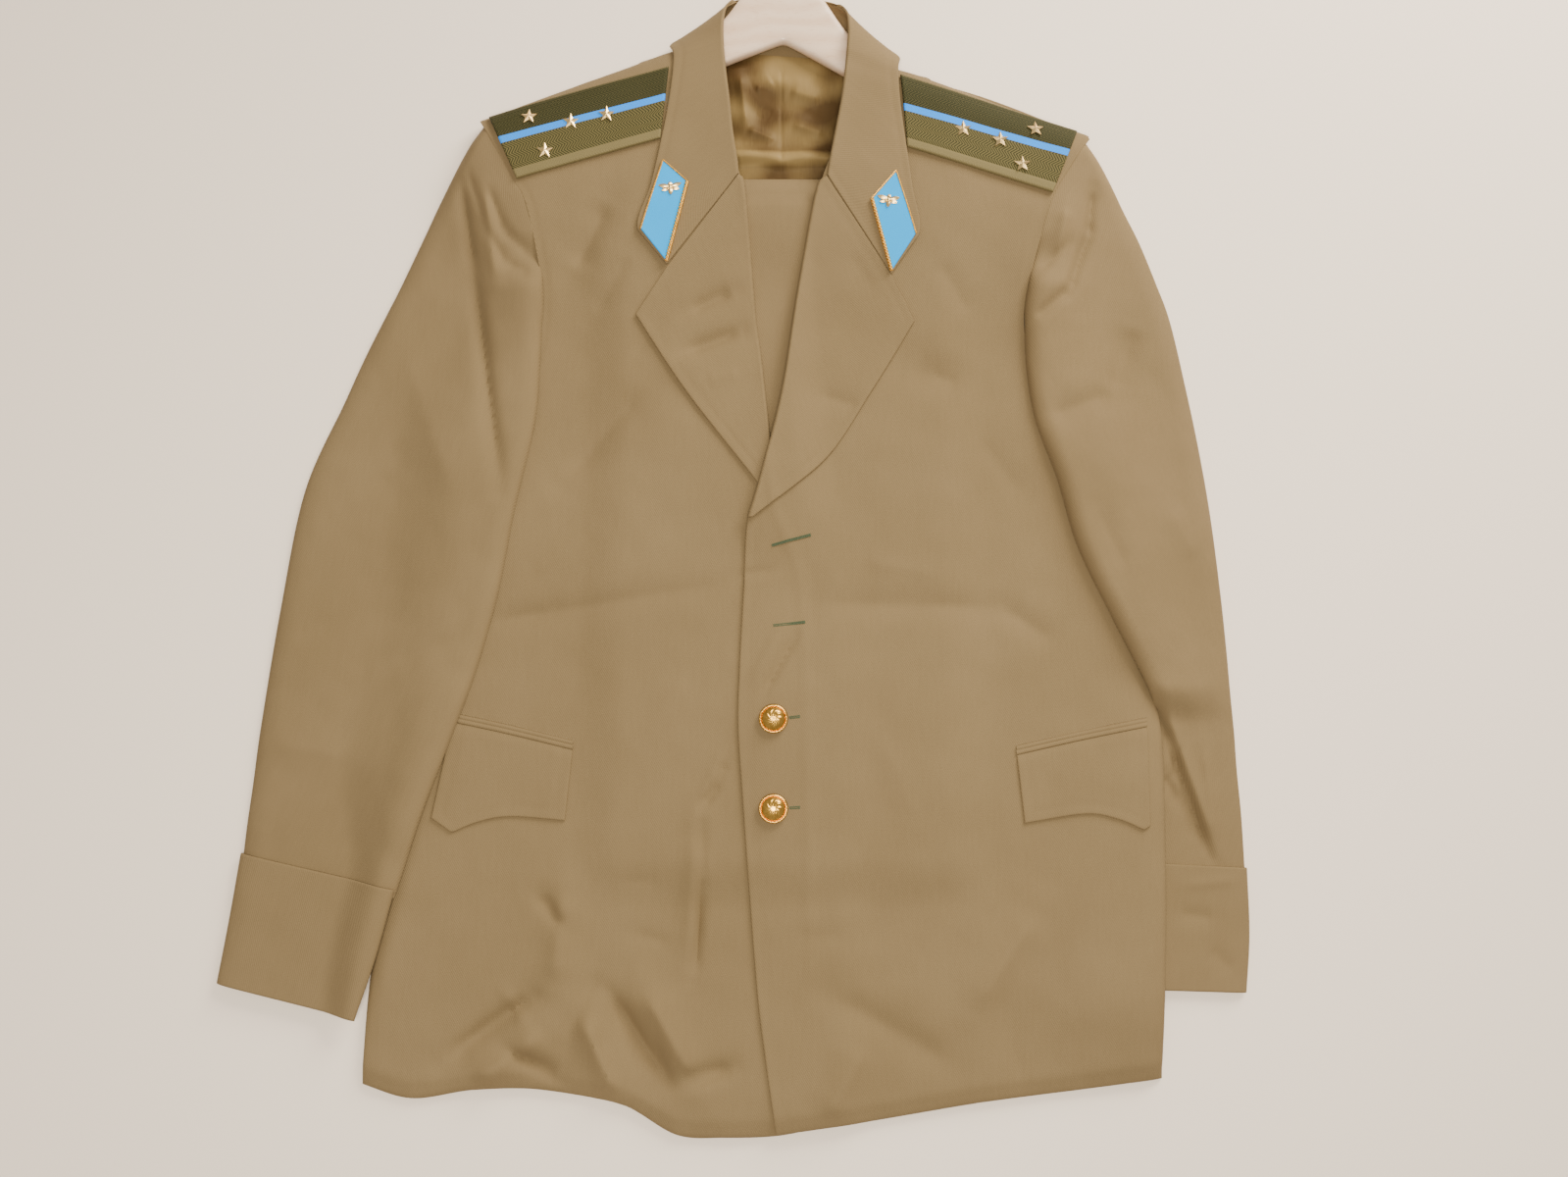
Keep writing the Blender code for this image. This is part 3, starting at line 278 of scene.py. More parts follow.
def make_piece(name, points, faces, finish, grain=None, crisp=45.0):
    """A piece from points in millimetres, with its grain as its UV map and sharp edges over the crisp angle.

    A crisp angle of nought leaves every face turned as it is and every edge soft.
    """
    mesh = bpy.data.meshes.new(name)
    points = (np.asarray(points, float).reshape(-1, 3) - TABLE_ZERO) * MM
    mesh.from_pydata(points.tolist(), [], [list(face) for face in faces])
    if grain is not None:
        layer = mesh.uv_layers.new(name="grain")
        corner = np.empty(len(mesh.loops), int)
        mesh.loops.foreach_get("vertex_index", corner)
        layer.data.foreach_set("uv", (np.asarray(grain).reshape(-1, 2) * MM)[corner].ravel())
    if crisp:
        work = bmesh.new()
        work.from_mesh(mesh)
        bmesh.ops.recalc_face_normals(work, faces=work.faces)
        work.to_mesh(mesh)
        work.free()
    mesh.materials.append(finish.material)
    mesh.shade_smooth()
    if crisp:
        mesh.set_sharp_from_angle(angle=math.radians(crisp))
    made = bpy.data.objects.new(name, mesh)
    bpy.context.scene.collection.objects.link(made)
    return made


def finish_piece(piece, slot, *nodes):
    """The piece rides on the part and stands for its solids, which it hides. The slot is not used."""
    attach(piece, "root")
    if nodes:
        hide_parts(*nodes)


def beech_finish():
    """Lacquered beech: long grain along the arms, with short dark flecks."""
    wood = Finish("beech", Coat_Weight=0.35, Coat_Roughness=0.2)
    place = wood.node("ShaderNodeTexCoord", {}, {}, 3)
    grain = wood.noise(place, 60.0, 4.0, (0.25, 1.6, 1.0))
    rings = wood.node(
        "ShaderNodeTexWave",
        {"wave_type": "BANDS", "bands_direction": "Y"},
        {"Vector": place, "Scale": 22.0, "Distortion": 5.0, "Detail": 2.0, "Detail Scale": 1.2},
    )
    flecks = wood.noise(place, 900.0, 1.0, (0.18, 1.0, 1.0)) > 0.64
    share = (grain * 0.6 + rings * 0.35 + flecks * 0.22).at_most_one()
    wood.colour(wood.between(share, BEECH, BEECH_DARK))
    wood.roughness(0.38 + grain * 0.14)
    wood.relief(grain * 0.05 - flecks * 0.03)
    return wood


half = np.concatenate([np.linspace(0, 60, 31), np.linspace(64, 204, 36), np.linspace(206, HANGER_REACH, 9)])
hanger_x = np.concatenate([-half[::-1], half[1:]])
bow = smooth_line(np.stack([HANGER_BOW_X, HANGER_BOW_Y], axis=1), np.linspace(0, 1, 80))
upper_edge = np.interp(np.abs(hanger_x), bow[:, 0], bow[:, 1])
notch = HANGER_NOTCH_Y + 1.5 - 0.5 * np.sqrt(hanger_x**2 + 9.0)
closing = dome((HANGER_REACH + 0.6 - np.abs(hanger_x)) / 12.0)
turns = np.linspace(0, 2 * math.pi, ARM_SIDES, endpoint=False)
across, rise = (np.sign(wave) * np.abs(wave) ** ARM_ROUNDNESS for wave in (np.cos(turns), np.sin(turns)))
reach = ((upper_edge - notch) / 2 * closing)[:, None] * across
thick = (HANGER_HALF_THICK * (0.45 + 0.55 * closing))[:, None] * rise
middle = ((upper_edge + notch) / 2 + HANGER_TILT * hanger_x)[:, None]
arms = np.dstack([np.repeat(hanger_x[:, None], ARM_SIDES, axis=1), middle + reach, HANGER_MIDDLE_Z + thick])
faces = [*quads(len(hanger_x), ARM_SIDES, ring=True), *end_caps(len(hanger_x), ARM_SIDES)]
arms = make_piece("hanger_arms", arms, faces, beech_finish())
finish_piece(arms, "beech_wood", "hanger")

# The bar that the trousers hang on and the hook are drawn steel rod. The bar is pressed into the
# arms at both ends; the hook is bent from wire and screwed into the middle.
HOOK_WIRE_RADIUS = 1.8
HOOK_RADIUS = 20.0
HOOK_CENTRE_Y = 543.2


def steel_finish():
    """Bright drawn wire with faint lengthwise marks."""
    steel = Finish("drawn_steel", Metallic=1.0)
    place = steel.node("ShaderNodeTexCoord", {}, {}, 3)
    marks = steel.noise(place, 700.0, 2.0)
    steel.colour(steel.between(marks, (0.50, 0.50, 0.51, 1.0), (0.66, 0.66, 0.67, 1.0)))
    steel.roughness(0.24 + marks * 0.16)
    return steel


def around(path):
    """Two directions square to a path and to each other, at each of its points."""
    tangent = unit(np.gradient(path, axis=0))
    side = unit(np.cross(tangent, (0.0, 0.0, 1.0)))
    return side, np.cross(side, tangent)


def tube(name, path, radius, finish, sides=20):
    """A round rod along a path, closed at both ends."""
    side, other = around(path)
    angle = np.linspace(0, 2 * math.pi, sides, endpoint=False)
    ring = side[:, None] * np.cos(angle)[None, :, None] + other[:, None] * np.sin(angle)[None, :, None]
    faces = [*quads(len(path), sides, ring=True), *end_caps(len(path), sides)]
    return make_piece(name, path[:, None] + ring * radius, faces, finish)


steel = steel_finish()
turns = np.linspace(math.radians(240.0), math.radians(-20.0), 60)
bend = np.stack([HOOK_RADIUS * np.cos(turns), HOOK_CENTRE_Y + HOOK_RADIUS * np.sin(turns)], axis=1)
shank = smooth_line([(0, 503.6), (0, 512), (-4, 518), *bend[:3]], np.linspace(0, 1, 16))[:-6]
hook_path = np.vstack([shank, bend])
hook_path = np.column_stack([hook_path, np.full(len(hook_path), HANGER_MIDDLE_Z)])
hook = tube("hook_wire", hook_path, HOOK_WIRE_RADIUS, steel)
finish_piece(hook, "steel_rod", "hanger_hook")
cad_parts["hanger_bar"].material_slots[0].material = steel.material

# The trousers are cut from the tunic's own wool gabardine, pressed along their creases and folded
# over the bar, one thickness of doubled leg in front of it and one behind.
CLOTH = 2.4
THIN_CLOTH = 2.0
LEGS_HALF_WIDTH = 115.0
LEGS_BOTTOM = -200.0
LEG_CLOTH = 3.0
BAR_Y = 312.0
BAR_RADIUS = 4.0
LOOP_SLACK = 8.5
LEG_BULGE = 3.2
KHAKI_LIGHT = (0.240, 0.163, 0.075, 1.0)
KHAKI_DARK = (0.155, 0.103, 0.044, 1.0)
SHEEN_TINT = (0.80, 0.62, 0.36, 1.0)
TWILL_PITCH = 0.0014


def gabardine_finish(name):
    """Wool gabardine: a steep fine twill, mixed light and dark fibres and a faint nap."""
    wool = Finish(name, Sheen_Weight=0.08, Sheen_Roughness=0.4, Specular_IOR_Level=0.25)
    wool.shader.inputs["Sheen Tint"].default_value = SHEEN_TINT
    place = wool.node("ShaderNodeUVMap", {"uv_map": "grain"})
    weft, warp, _ = wool.across(place)
    twill = ((weft * 0.86 + warp * 0.50) * (2 * math.pi / TWILL_PITCH)).wave()
    fibre = wool.noise(place, 1500.0, 2.0)
    slub = wool.noise(place, 420.0, 2.0, (1.0, 0.12, 1.0))
    cloud = wool.noise(place, 9.0, 3.0)
    crumple = wool.noise(place, 46.0, 2.0, (1.0, 0.55, 1.0))
    share = (fibre * 1.05 + slub * 0.20 + cloud * 0.60 + twill * 0.07 - 0.42).at_most_one()
    wool.colour(wool.between(share, KHAKI_DARK, KHAKI_LIGHT))
    wool.roughness(0.93 - cloud * 0.14)
    wool.relief(twill * 0.045 + fibre * 0.10 + slub * 0.02 + crumple * 0.50)
    return wool


def wall(name, outer, inner, finish, grain, ring=False, crisp=45.0):
    """Cloth as a closed wall between two grids of points."""
    rows, columns = outer.shape[:2]
    count = rows * columns
    faces = [*quads(rows, columns, ring), *(quads(rows, columns, ring)[:, ::-1] + count)]
    last = columns if ring else columns - 1
    for r in (0, rows - 1):
        for c in range(last):
            a, b = r * columns + c, r * columns + (c + 1) % columns
            faces.append((a, b, b + count, a + count))
    if not ring:
        for c in (0, columns - 1):
            for r in range(rows - 1):
                a, b = r * columns + c, (r + 1) * columns + c
                faces.append((a, b, b + count, a + count))
    points = np.concatenate([outer.reshape(-1, 3), inner.reshape(-1, 3)])
    grains = np.concatenate([grain.reshape(-1, 2)] * 2)
    return make_piece(name, points, faces, finish, grains, crisp)


def declare_cloth(outer, ring=False):
    """Makes a copy of a tube's outer grid closed round its ring and keeps nothing; a flat grid is not
    touched.
    """
    if ring:
        outer = np.concatenate([outer, outer[:, :1]], axis=1)


def uneven(x, y, size, seed=0.0):
    """Slow, irregular rise and fall over the cloth, between about -1 and 1."""
    spots = zip(np.ravel(x) / size, np.ravel(y) / size)
    return np.array([noise.noise(Vector((a, b, seed))) for a, b in spots]).reshape(np.shape(x)) * 1.6


gabardine = gabardine_finish("khaki_gabardine")
half_leg = LEG_CLOTH / 2
loop = BAR_RADIUS + 0.4 + half_leg
back_z = THIN_CLOTH + 0.6 + half_leg
middle_z = back_z + LEG_CLOTH + 0.4
bar_z = back_z + loop
front_y = np.concatenate([np.linspace(LEGS_BOTTOM, 180, 96), np.linspace(184, 304, 50)])
front_z = middle_z + (bar_z + loop - middle_z) * ease((front_y - 225.0) / 80.0)
turns = np.linspace(math.pi / 2, -math.pi / 2, 28)
arc = np.stack([BAR_Y + (loop + LOOP_SLACK) * np.cos(turns), bar_z + loop * np.sin(turns)], axis=1)
back_y = np.linspace(300.0, LEGS_BOTTOM + 12.0, 60)
back_line = np.stack([back_y, np.full(60, back_z)], axis=1)
leg_path = np.vstack([np.stack([front_y, front_z], axis=1), arc, back_line])
tangent = unit(np.gradient(leg_path, axis=0))
outward = np.stack([-tangent[:, 1], tangent[:, 0]], axis=1)
leg_x = np.linspace(-LEGS_HALF_WIDTH, LEGS_HALF_WIDTH, 70)
# The leg bulges a little in the opening of the tunic
in_front = (np.arange(len(leg_path)) < len(front_y)) * ease((leg_path[:, 0] - 30.0) / 80.0)
in_front = in_front * ease((330.0 - leg_path[:, 0]) / 30.0)
bulge = LEG_BULGE * np.outer(in_front, np.exp(-((leg_x / 46.0) ** 4)))
skins = []
for offset in (half_leg, -half_leg):
    line = leg_path + outward * offset
    skin = np.empty((len(line), len(leg_x), 3))
    skin[..., 0] = leg_x[None, :]
    skin[..., 1:] = line[:, None, :]
    skin[..., 2] += bulge
    skins.append(skin)
grain = np.stack(np.meshgrid(leg_x, length_run(leg_path)), axis=-1)
legs = wall("trouser_legs", skins[0], skins[1], gabardine, grain)
finish_piece(legs, "khaki_cloth", "trousers")
declare_cloth(skins[0])

# The back of the tunic lies face down on the floor. It is two gabardine panels with a seam down the
# middle and a vent below it, and it shows here only at the hem and the sides.
UNDERARM_Y = 118.0
RIGHT_SIDE = np.array([
    (-315, -420), (-315, -351), (-307.5, -282), (-296, -231), (-281, -165),
    (-265, -100), (-251, -40), (-243, 20), (-240, 70), (-238, 118),
], float)
LEFT_SIDE = np.array([
    (283, -420), (280, -367), (283, -296), (286, -224), (286, -107),
    (273, -50), (257, 10), (244, 70), (238, 118),
], float)
RIGHT_ARMHOLE = np.array([
    (-238, 118), (-228, 137), (-205, 160), (-194, 187), (-190, 215),
    (-191, 246), (-201, 298), (-213, 321), (-228, 348), (-242, 373),
], float)
LEFT_ARMHOLE = np.array([
    (238, 118), (228, 137), (205, 158), (193, 185), (189, 212),
    (194, 246), (203, 280), (212, 308), (228, 335), (243, 358),
], float)
HEM = np.array([
    (-312, -371), (-275, -381), (-231, -375), (-188, -374), (-144, -380), (-115, -387), (-79, -407),
    (-43, -409), (-7, -408), (22, -403), (72, -396), (145, -384), (217, -375), (280, -367),
], float)
TUCKED_CUFF = np.array([(284, -126), (264, -160), (250, -212), (243, -302), (347, -305), (347, -140)], float)
TUCK_LIFT = 6.9
COLLAR_UNDER = np.array([
    (-84, 440), (-60, 428), (0, 422), (60, 420), (84, 430), (60, 480), (-60, 485),
], float)
BACK_TOP = [
    (-232, 370), (-158, 401), (-90, 428), (-52, 442), (0, 446), (54, 434), (92, 413), (159, 391), (233, 355),
]
VENT_TOP = -150.0


def fractions_of(one, other):
    """Mean fraction of length at each point of two facing edges."""
    total = 0.0
    for line in (one, other):
        steps = length_run(line)
        total = total + steps / steps[-1]
    return total / 2


def coons(low, high, start, finish):
    """A plan grid between four edges: low and high run across, start and finish run up."""
    u = fractions_of(low, high)[None, :, None]
    v = fractions_of(start, finish)[:, None, None]
    sides = (1 - u) * start[:, None, :] + u * finish[:, None, :]
    ends = (1 - v) * low[None, :, :] + v * high[None, :, :]
    corners = (1 - u) * (1 - v) * low[0] + u * (1 - v) * low[-1]
    corners = corners + (1 - u) * v * high[0] + u * v * high[-1]
    return sides + ends - corners


def inside_distance(x, y, outline):
    """Distance inside a closed outline, less than nought outside it."""
    nearest = np.full(np.shape(x), 1e9)
    inside = np.zeros(np.shape(x), bool)
    for (ax, ay), (bx, by) in zip(outline, np.roll(outline, -1, axis=0)):
        length = (bx - ax) ** 2 + (by - ay) ** 2 + 1e-9
        t = np.clip(((x - ax) * (bx - ax) + (y - ay) * (by - ay)) / length, 0, 1)
        nearest = np.minimum(nearest, np.hypot(x - ax - t * (bx - ax), y - ay - t * (by - ay)))
        rise = by - ay if abs(by - ay) > 1e-9 else 1e-9
        inside ^= ((ay > y) != (by > y)) & (x < ax + (y - ay) * (bx - ax) / rise)
    return np.where(inside, nearest, -nearest)


def cover(x, y, outline, fall, margin=3.0):
    """1 over an outline and a margin round it, easing to 0 over the fall beyond that."""
    return ease(1.0 + (inside_distance(x, y, outline) + margin) / fall)


def tuck_lift(x, y):
    """How far the body is lifted by the left cuff that lies under its side."""
    return TUCK_LIFT * cover(x, y, TUCKED_CUFF, 70.0)


def back_height(x, y):
    """Upper face of the back as it lies."""
    return THIN_CLOTH + tuck_lift(x, y) + 3.0 * cover(x, y, COLLAR_UNDER, 30.0)


def stepped(length, step, start=(), end=()):
    """Fractions along an edge: the given distances from each end, and even steps between."""
    first = max(start, default=0.0)
    last = length - max(end, default=0.0)
    middle = np.linspace(first, last, max(2, round((last - first) / step)) + 1)
    places = np.concatenate([sorted(start), middle, length - np.array(sorted(end, reverse=True))])
    return np.unique(np.concatenate([[0.0], places, [length]])) / length


EDGE_STEPS = (0.3, 0.7, 1.2, 1.9, 2.8, 4.0, 6.0)
rows = stepped(800.0, 7.0, EDGE_STEPS, EDGE_STEPS)
columns = stepped(590.0, 9.0, EDGE_STEPS, EDGE_STEPS)
middle_columns = 0.5 + np.array([-2.5, -1.5, -0.9, -0.4, 0.0, 0.4, 0.9, 1.5, 2.5]) / 590.0
columns = np.unique(np.concatenate([columns, middle_columns]))
hem = HEM[1:-1] * (0.98, 1.0) + (0, 6)
right_edge = np.vstack([[(-306, -366)], RIGHT_SIDE[1:] + (6, 0), RIGHT_ARMHOLE[1:-1] + (6, 0), [(-232, 370)]])
left_edge = np.vstack([[(274, -361)], LEFT_SIDE[2:] + (-6, 0), LEFT_ARMHOLE[1:-1] + (-6, 0), [(233, 355)]])
low = smooth_line(np.vstack([right_edge[:1], hem, left_edge[:1]]), columns)
high = smooth_line(BACK_TOP, columns)
back_plan = coons(low, high, smooth_line(right_edge, rows), smooth_line(left_edge, rows))
x, y = back_plan[..., 0], back_plan[..., 1]
top = back_height(x, y)
off_middle = np.abs(np.arange(len(columns)) - np.argmin(np.abs(columns - 0.5)))
seam = np.where(off_middle <= 1, 0.7, 0.0)[None, :] * np.where(y > VENT_TOP, 1.0, 1.3)
under = np.dstack([back_plan, top - THIN_CLOTH + seam])
back = wall("back_panels", np.dstack([back_plan, top]), under, gabardine, back_plan)
finish_piece(back, "khaki_cloth", "back")
declare_cloth(np.dstack([back_plan, top]))

# The lining of the back is old-gold satin, cut in two halves with a seam down the middle. It lies in
# soft folds in the neck, and the lowest of them is rolled over above the trousers.
SATIN = 1.0
SATIN_LIGHT = (0.25, 0.165, 0.060, 1.0)
# The dark colour of the painted reflections in the satin
SATIN_REFLECTION_DARK = (0.066, 0.034, 0.011, 1.0)
# The painted highlight along the lowest fold: one over its half width in metres, and its middle in half
# widths
HIGHLIGHT_STEEPNESS = 150.0
HIGHLIGHT_MIDDLE = 52.0
ROLL_Y = 344.5
ROLL_RISE = 7.5
# Soft folds of the lining: ends, half width and height
LINING_FOLDS = [
    (-36, 420, -30, 372, 7, 3.2),
    (-30, 372, -6, 362, 6, 2.6),
    (4, 404, 30, 396, 8, 2.6),
    (6, 376, 34, 366, 7, 2.8),
    (-24, 404, -8, 412, 8, 2.2),
    (-20, 388, -10, 384, 5, -1.6),
]


def satin_finish():
    """Lining satin: fine lengthwise threads, blotches of painted dark reflection and a painted highlight
    along the lowest fold.
    """
    satin = Finish("old_gold_satin", Specular_IOR_Level=0.32, Specular_Tint=(0.95, 0.74, 0.42, 1.0))
    place = satin.node("ShaderNodeUVMap", {"uv_map": "grain"})
    threads = satin.noise(place, 900.0, 2.0, (1.0, 0.10, 1.0))
    # Painted reflection: broad dark blotches stand for dark surroundings mirrored in the satin
    painted_reflections = satin.noise(place, 19.0, 1.0, (1.0, 1.25, 1.0), (0.051, 0.082, 0.0))
    up_the_back = satin.node("ShaderNodeSeparateXYZ", {}, {"Vector": place}, 1)
    # Painted highlight: the crest of the lowest fold is lightened as if it caught the lamp
    from_crest = up_the_back * HIGHLIGHT_STEEPNESS - HIGHLIGHT_MIDDLE
    painted_crest_highlight = (from_crest * from_crest * -1.0 + 1.0).at_most_one()
    share = (threads * 0.3 + painted_reflections * 4.2 - 1.86 + painted_crest_highlight * 0.8).at_most_one()
    satin.colour(satin.between(share, SATIN_REFLECTION_DARK, SATIN_LIGHT))
    satin.roughness(0.48 + threads * 0.14)
    satin.relief(threads * 0.03 + satin.noise(place, 120.0, 2.0) * 0.12)
    return satin


def soft_folds(x, y, folds):
    """Sum of soft ridges and troughs along straight runs, each fading towards its two ends."""
    total = np.zeros(np.shape(x))
    for x0, y0, x1, y1, width, height in folds:
        length = (x1 - x0) ** 2 + (y1 - y0) ** 2
        t = np.clip(((x - x0) * (x1 - x0) + (y - y0) * (y1 - y0)) / length, 0, 1)
        away = np.hypot(x - x0 - t * (x1 - x0), y - y0 - t * (y1 - y0))
        from_end = ease(np.minimum(t, 1.0 - t) * 4.0)
        soft = np.exp(-((away / width) ** 2)) * (0.5 + 0.5 * from_end)
        sharp = np.exp(-((away / (0.42 * width)) ** 1.4)) * from_end
        total = total + height * (0.85 * soft + 0.50 * sharp)
    return total


u = np.linspace(0.0, 1.0, 120)[None, :, None]
v = np.linspace(0.0, 1.0, 130)[:, None, None]
corners = np.array([(-62, 330), (62, 330), (50, 430), (-48, 437)], float)
lining_plan = between_corners(corners, u, v)
x, y = lining_plan[..., 0], lining_plan[..., 1]
crest = ROLL_Y + 3.5 * np.abs(np.sin((x + 2.0) / 27.0 * math.pi / 1.9)) - 0.03 * x
ridge = ROLL_RISE * np.exp(-(((y - crest) / np.where(y > crest, 9.0, 6.0)) ** 2))
seam = -0.55 * np.exp(-(((x + 2.0) / 1.6) ** 2))
inside_edge = ease((y - 330.0) / 8.0) * ease((434.0 - y) / 14.0)
folds = soft_folds(x, y, LINING_FOLDS) + 0.9 * uneven(x, y, 16.0, 3.0)
top = back_height(x, y) + 0.8 + SATIN + np.maximum(ridge + folds + seam + 0.6, 0.0) * inside_edge
lining_face = np.dstack([lining_plan, top])
lining = wall("back_lining", lining_face, lining_face - (0, 0, SATIN), satin_finish(), lining_plan)
finish_piece(lining, "satin_lining", "neck_lining")
declare_cloth(lining_face)

# The two fronts are gabardine, canvassed and pressed. The left laps over the right, and each is
# turned back along its roll line into a lapel. Their edges are bagged out, so they are rounded.
LAID_GAP = 0.7
LAPEL_GAP = 1.35
FLAT_LEVEL = 9.8
LEGS_LEVEL = 15.4
SHOULDER_LEVEL = 27.0
HEM_LEVEL = 6.4
HEM_DROOP = 2.0
SIDE_TURN = 14.0
FRONT_CLOTH = 1.9
# Line of the shoulders: its top at the wearer's right and how much lower it is at the left, and its slopes
SHOULDER_TOP = 473.4
SHOULDER_DROP = 15.9
SHOULDER_SLOPE = 0.3907
SLOPE_DROP = 0.0137
MEAN_SLOPE = 0.384
# Height of the low ridge that the right front's edge makes in the left front
EDGE_RIDGE = 0.9
# Lowest that a trough may come before it meets what lies under the front, and the rise over the legs
LEAST_LEVEL = 4.7
LEAST_RISE = 7.0
LEAST_BLEND = 0.8
HEM_TURN = 15.0
LEFT_INNER = np.array([
    (-6, -406), (-14, -352), (-21, -295), (-31, -166), (-35, -107), (-34, -62), (-31, -2), (-28, 51),
    (-15, 89), (0, 151), (12, 230), (26, 308), (38, 345), (52, 380), (70, 408),
], float)
RIGHT_INNER = np.array([
    (22, -403), (20, -166), (18, -60), (14, 5), (3, 38), (-6, 62), (-11, 100), (-19, 174), (-24, 214),
    (-32, 309), (-40, 345), (-52, 388), (-70, 420),
], float)
LEFT_SHOULDER = np.array([(70, 408), (92, 418), (159, 401), (235, 369), (243, 358)], float)
RIGHT_SHOULDER = np.array([(-70, 420), (-92, 433), (-158, 411), (-236, 381), (-242, 373)], float)
LEFT_LAPEL = np.array([(-25, 52), (31, 97), (68, 152), (102, 208), (84, 244)], float)
RIGHT_LAPEL = np.array([(-7, 62), (-22, 82), (-76, 152), (-116, 213), (-91, 252)], float)
# Inner edge, shoulder, side, armhole and lower corner of each front
FRONT_LINES = {
    "right": (RIGHT_INNER, RIGHT_SHOULDER, RIGHT_SIDE, RIGHT_ARMHOLE, np.array((-312.0, -371.0))),
    "left": (LEFT_INNER, LEFT_SHOULDER, LEFT_SIDE, LEFT_ARMHOLE, np.array((280.0, -367.0))),
}
# Free edge of each lapel, upper end of its gorge and shift of its foot
LAPEL_LINES = {
    "right": (RIGHT_LAPEL, (-36.6, 323.4), (-1.5, 0.0)),
    "left": (LEFT_LAPEL, (34.2, 322.2), (1.5, 0.0)),
}
# Folds of the body: ends, half width across, and height, less than nought for a trough
BODY_FOLDS = [
    (-40, 2, -226, -27, 11, -2.5),
    (24, -14, 168, -16, 11, -2.3),
    (168, -16, 206, -42, 10.2, -2.3),
    (-107, 158, -172, 84, 15, -3.6),
    (-138, 305, -166, 250, 13.6, -4.2),
    (97, 172, 140, 160, 17, -3),
    (-46, -135, -64, -180, 7.6, 3),
    (-64, -180, -67, -287, 9.3, 3.4),
    (-165, -228, -170, -300, 13.6, 4),
    (-182, -231, -164, -258, 7.6, -3),
    (-188, -307, -252, -356, 10.2, -4.9),
    (-176, -330, -230, -372, 13.6, 5.6),
    (-207, -345, -165, -362, 8.5, -3.8),
    (-131, -305, -90, -365, 10.2, -4.9),
    (-104, -300, -62, -372, 14.4, 6.9),
    (-150, -318, -122, -378, 11.9, 6.2),
    (-78, -365, -38, -357, 8.5, -3.4),
    (32, -305, 124, -357, 13.6, -4.2),
    (137, -320, 190, -242, 17, 4),
    (60, -340, 30, -395, 15.3, 3.8),
    (-76, 216, -40, 234, 6.8, -2.5),
    (-80, 184, -34, 201, 6, -2.8),
    (60, 140, 26, 150, 8.5, -0.9),
    (-14, 165, -26, 305, 17, -2.3),
]
# Smaller creases, which the pressing has left or the lying down has made
FINE_CREASES = [
    (9, -38, -16, -84, 3.6, -2.4),
    (-2, -34, -24, -72, 4.8, 1.4),
    (-33, 8, -8, 12, 3.8, -1.4),
    (-42, -132, -61, -168, 3.8, -3),
    (-61, -164, -65, -287, 4.6, -3),
    (-124, -223, -91, -223, 11.4, -1.2),
    (7, -263, 47, -263, 11.4, -1),
    (-112, -262, -86, -268, 6.6, -1.2),
    (-226, -29, -180, -18, 8.5, -1.2),
    (-120, 262, -150, 214, 10.4, -1.5),
    (-92, 216, -118, 178, 9.5, -1),
    (120, 258, 146, 214, 10.4, -1.4),
    (150, 120, 186, 70, 11.4, -1.2),
    (-150, 40, -196, 10, 11.4, 1),
    (60, 20, 120, 8, 9.5, 1),
    (-70, -70, -110, -120, 10.4, 0.9),
    (70, -110, 100, -180, 12.3, 0.9),
    (-210, -300, -190, -330, 5.7, 1.5),
    (-96, -338, -84, -372, 5.7, -2.1),
    (-136, -330, -120, -372, 5.7, -1.5),
    (160, -300, 176, -372, 11.4, -1.2),
    (-238, -342, -186, -306, 4.6, -3.0),
    (-207, -344, -166, -368, 4.6, -2.4),
    (-129, -304, -86, -369, 4.6, -2.4),
    (-137, -284, -163, -342, 6.0, -1.8),
    (-186, -233, -167, -255, 3.8, -1.4),
    (-48, -150, -60, -169, 4.2, -2.6),
    (-60, -227, -68, -295, 4.4, -2.4),
    (-71, -372, -37, -358, 4.6, -1.8),
]


def side_x(points, y):
    """X of a side edge at a height up the body, opening wide above the underarm."""
    line = smooth_line(points, np.linspace(0, 1, 60))
    opening = 6.0 * np.clip(y - UNDERARM_Y, 0.0, 60.0)
    return np.interp(y, line[:, 1], line[:, 0]) + np.sign(points[0, 0]) * opening


def shoulder_distance(x, y):
    """Distance below the line of the shoulders."""
    share = ease((x + 60.0) / 120.0)
    top = SHOULDER_TOP - SHOULDER_DROP * share
    slope = SHOULDER_SLOPE - SLOPE_DROP * share
    return (top - slope * np.abs(x) - y) * math.cos(math.atan(MEAN_SLOPE))


def body_level(x, y):
    """Outer face of the laid body before its edges turn down: legs and hanger lie under it."""
    over_legs = ease((LEGS_HALF_WIDTH + 45.0 - np.abs(x)) / 40.0) * ease((y - LEGS_BOTTOM + 45.0) / 40.0)
    level = FLAT_LEVEL + (LEGS_LEVEL - FLAT_LEVEL) * over_legs
    down = shoulder_distance(x, y)
    sooner = 20.0 * ease((np.abs(x) - 120.0) / 60.0)
    level = level + (SHOULDER_LEVEL - level) * (1.0 - ease((down - 90.0 + sooner) / (150.0 - sooner)))
    return CLOTH + (level - CLOTH) * dome(down / 28.0)


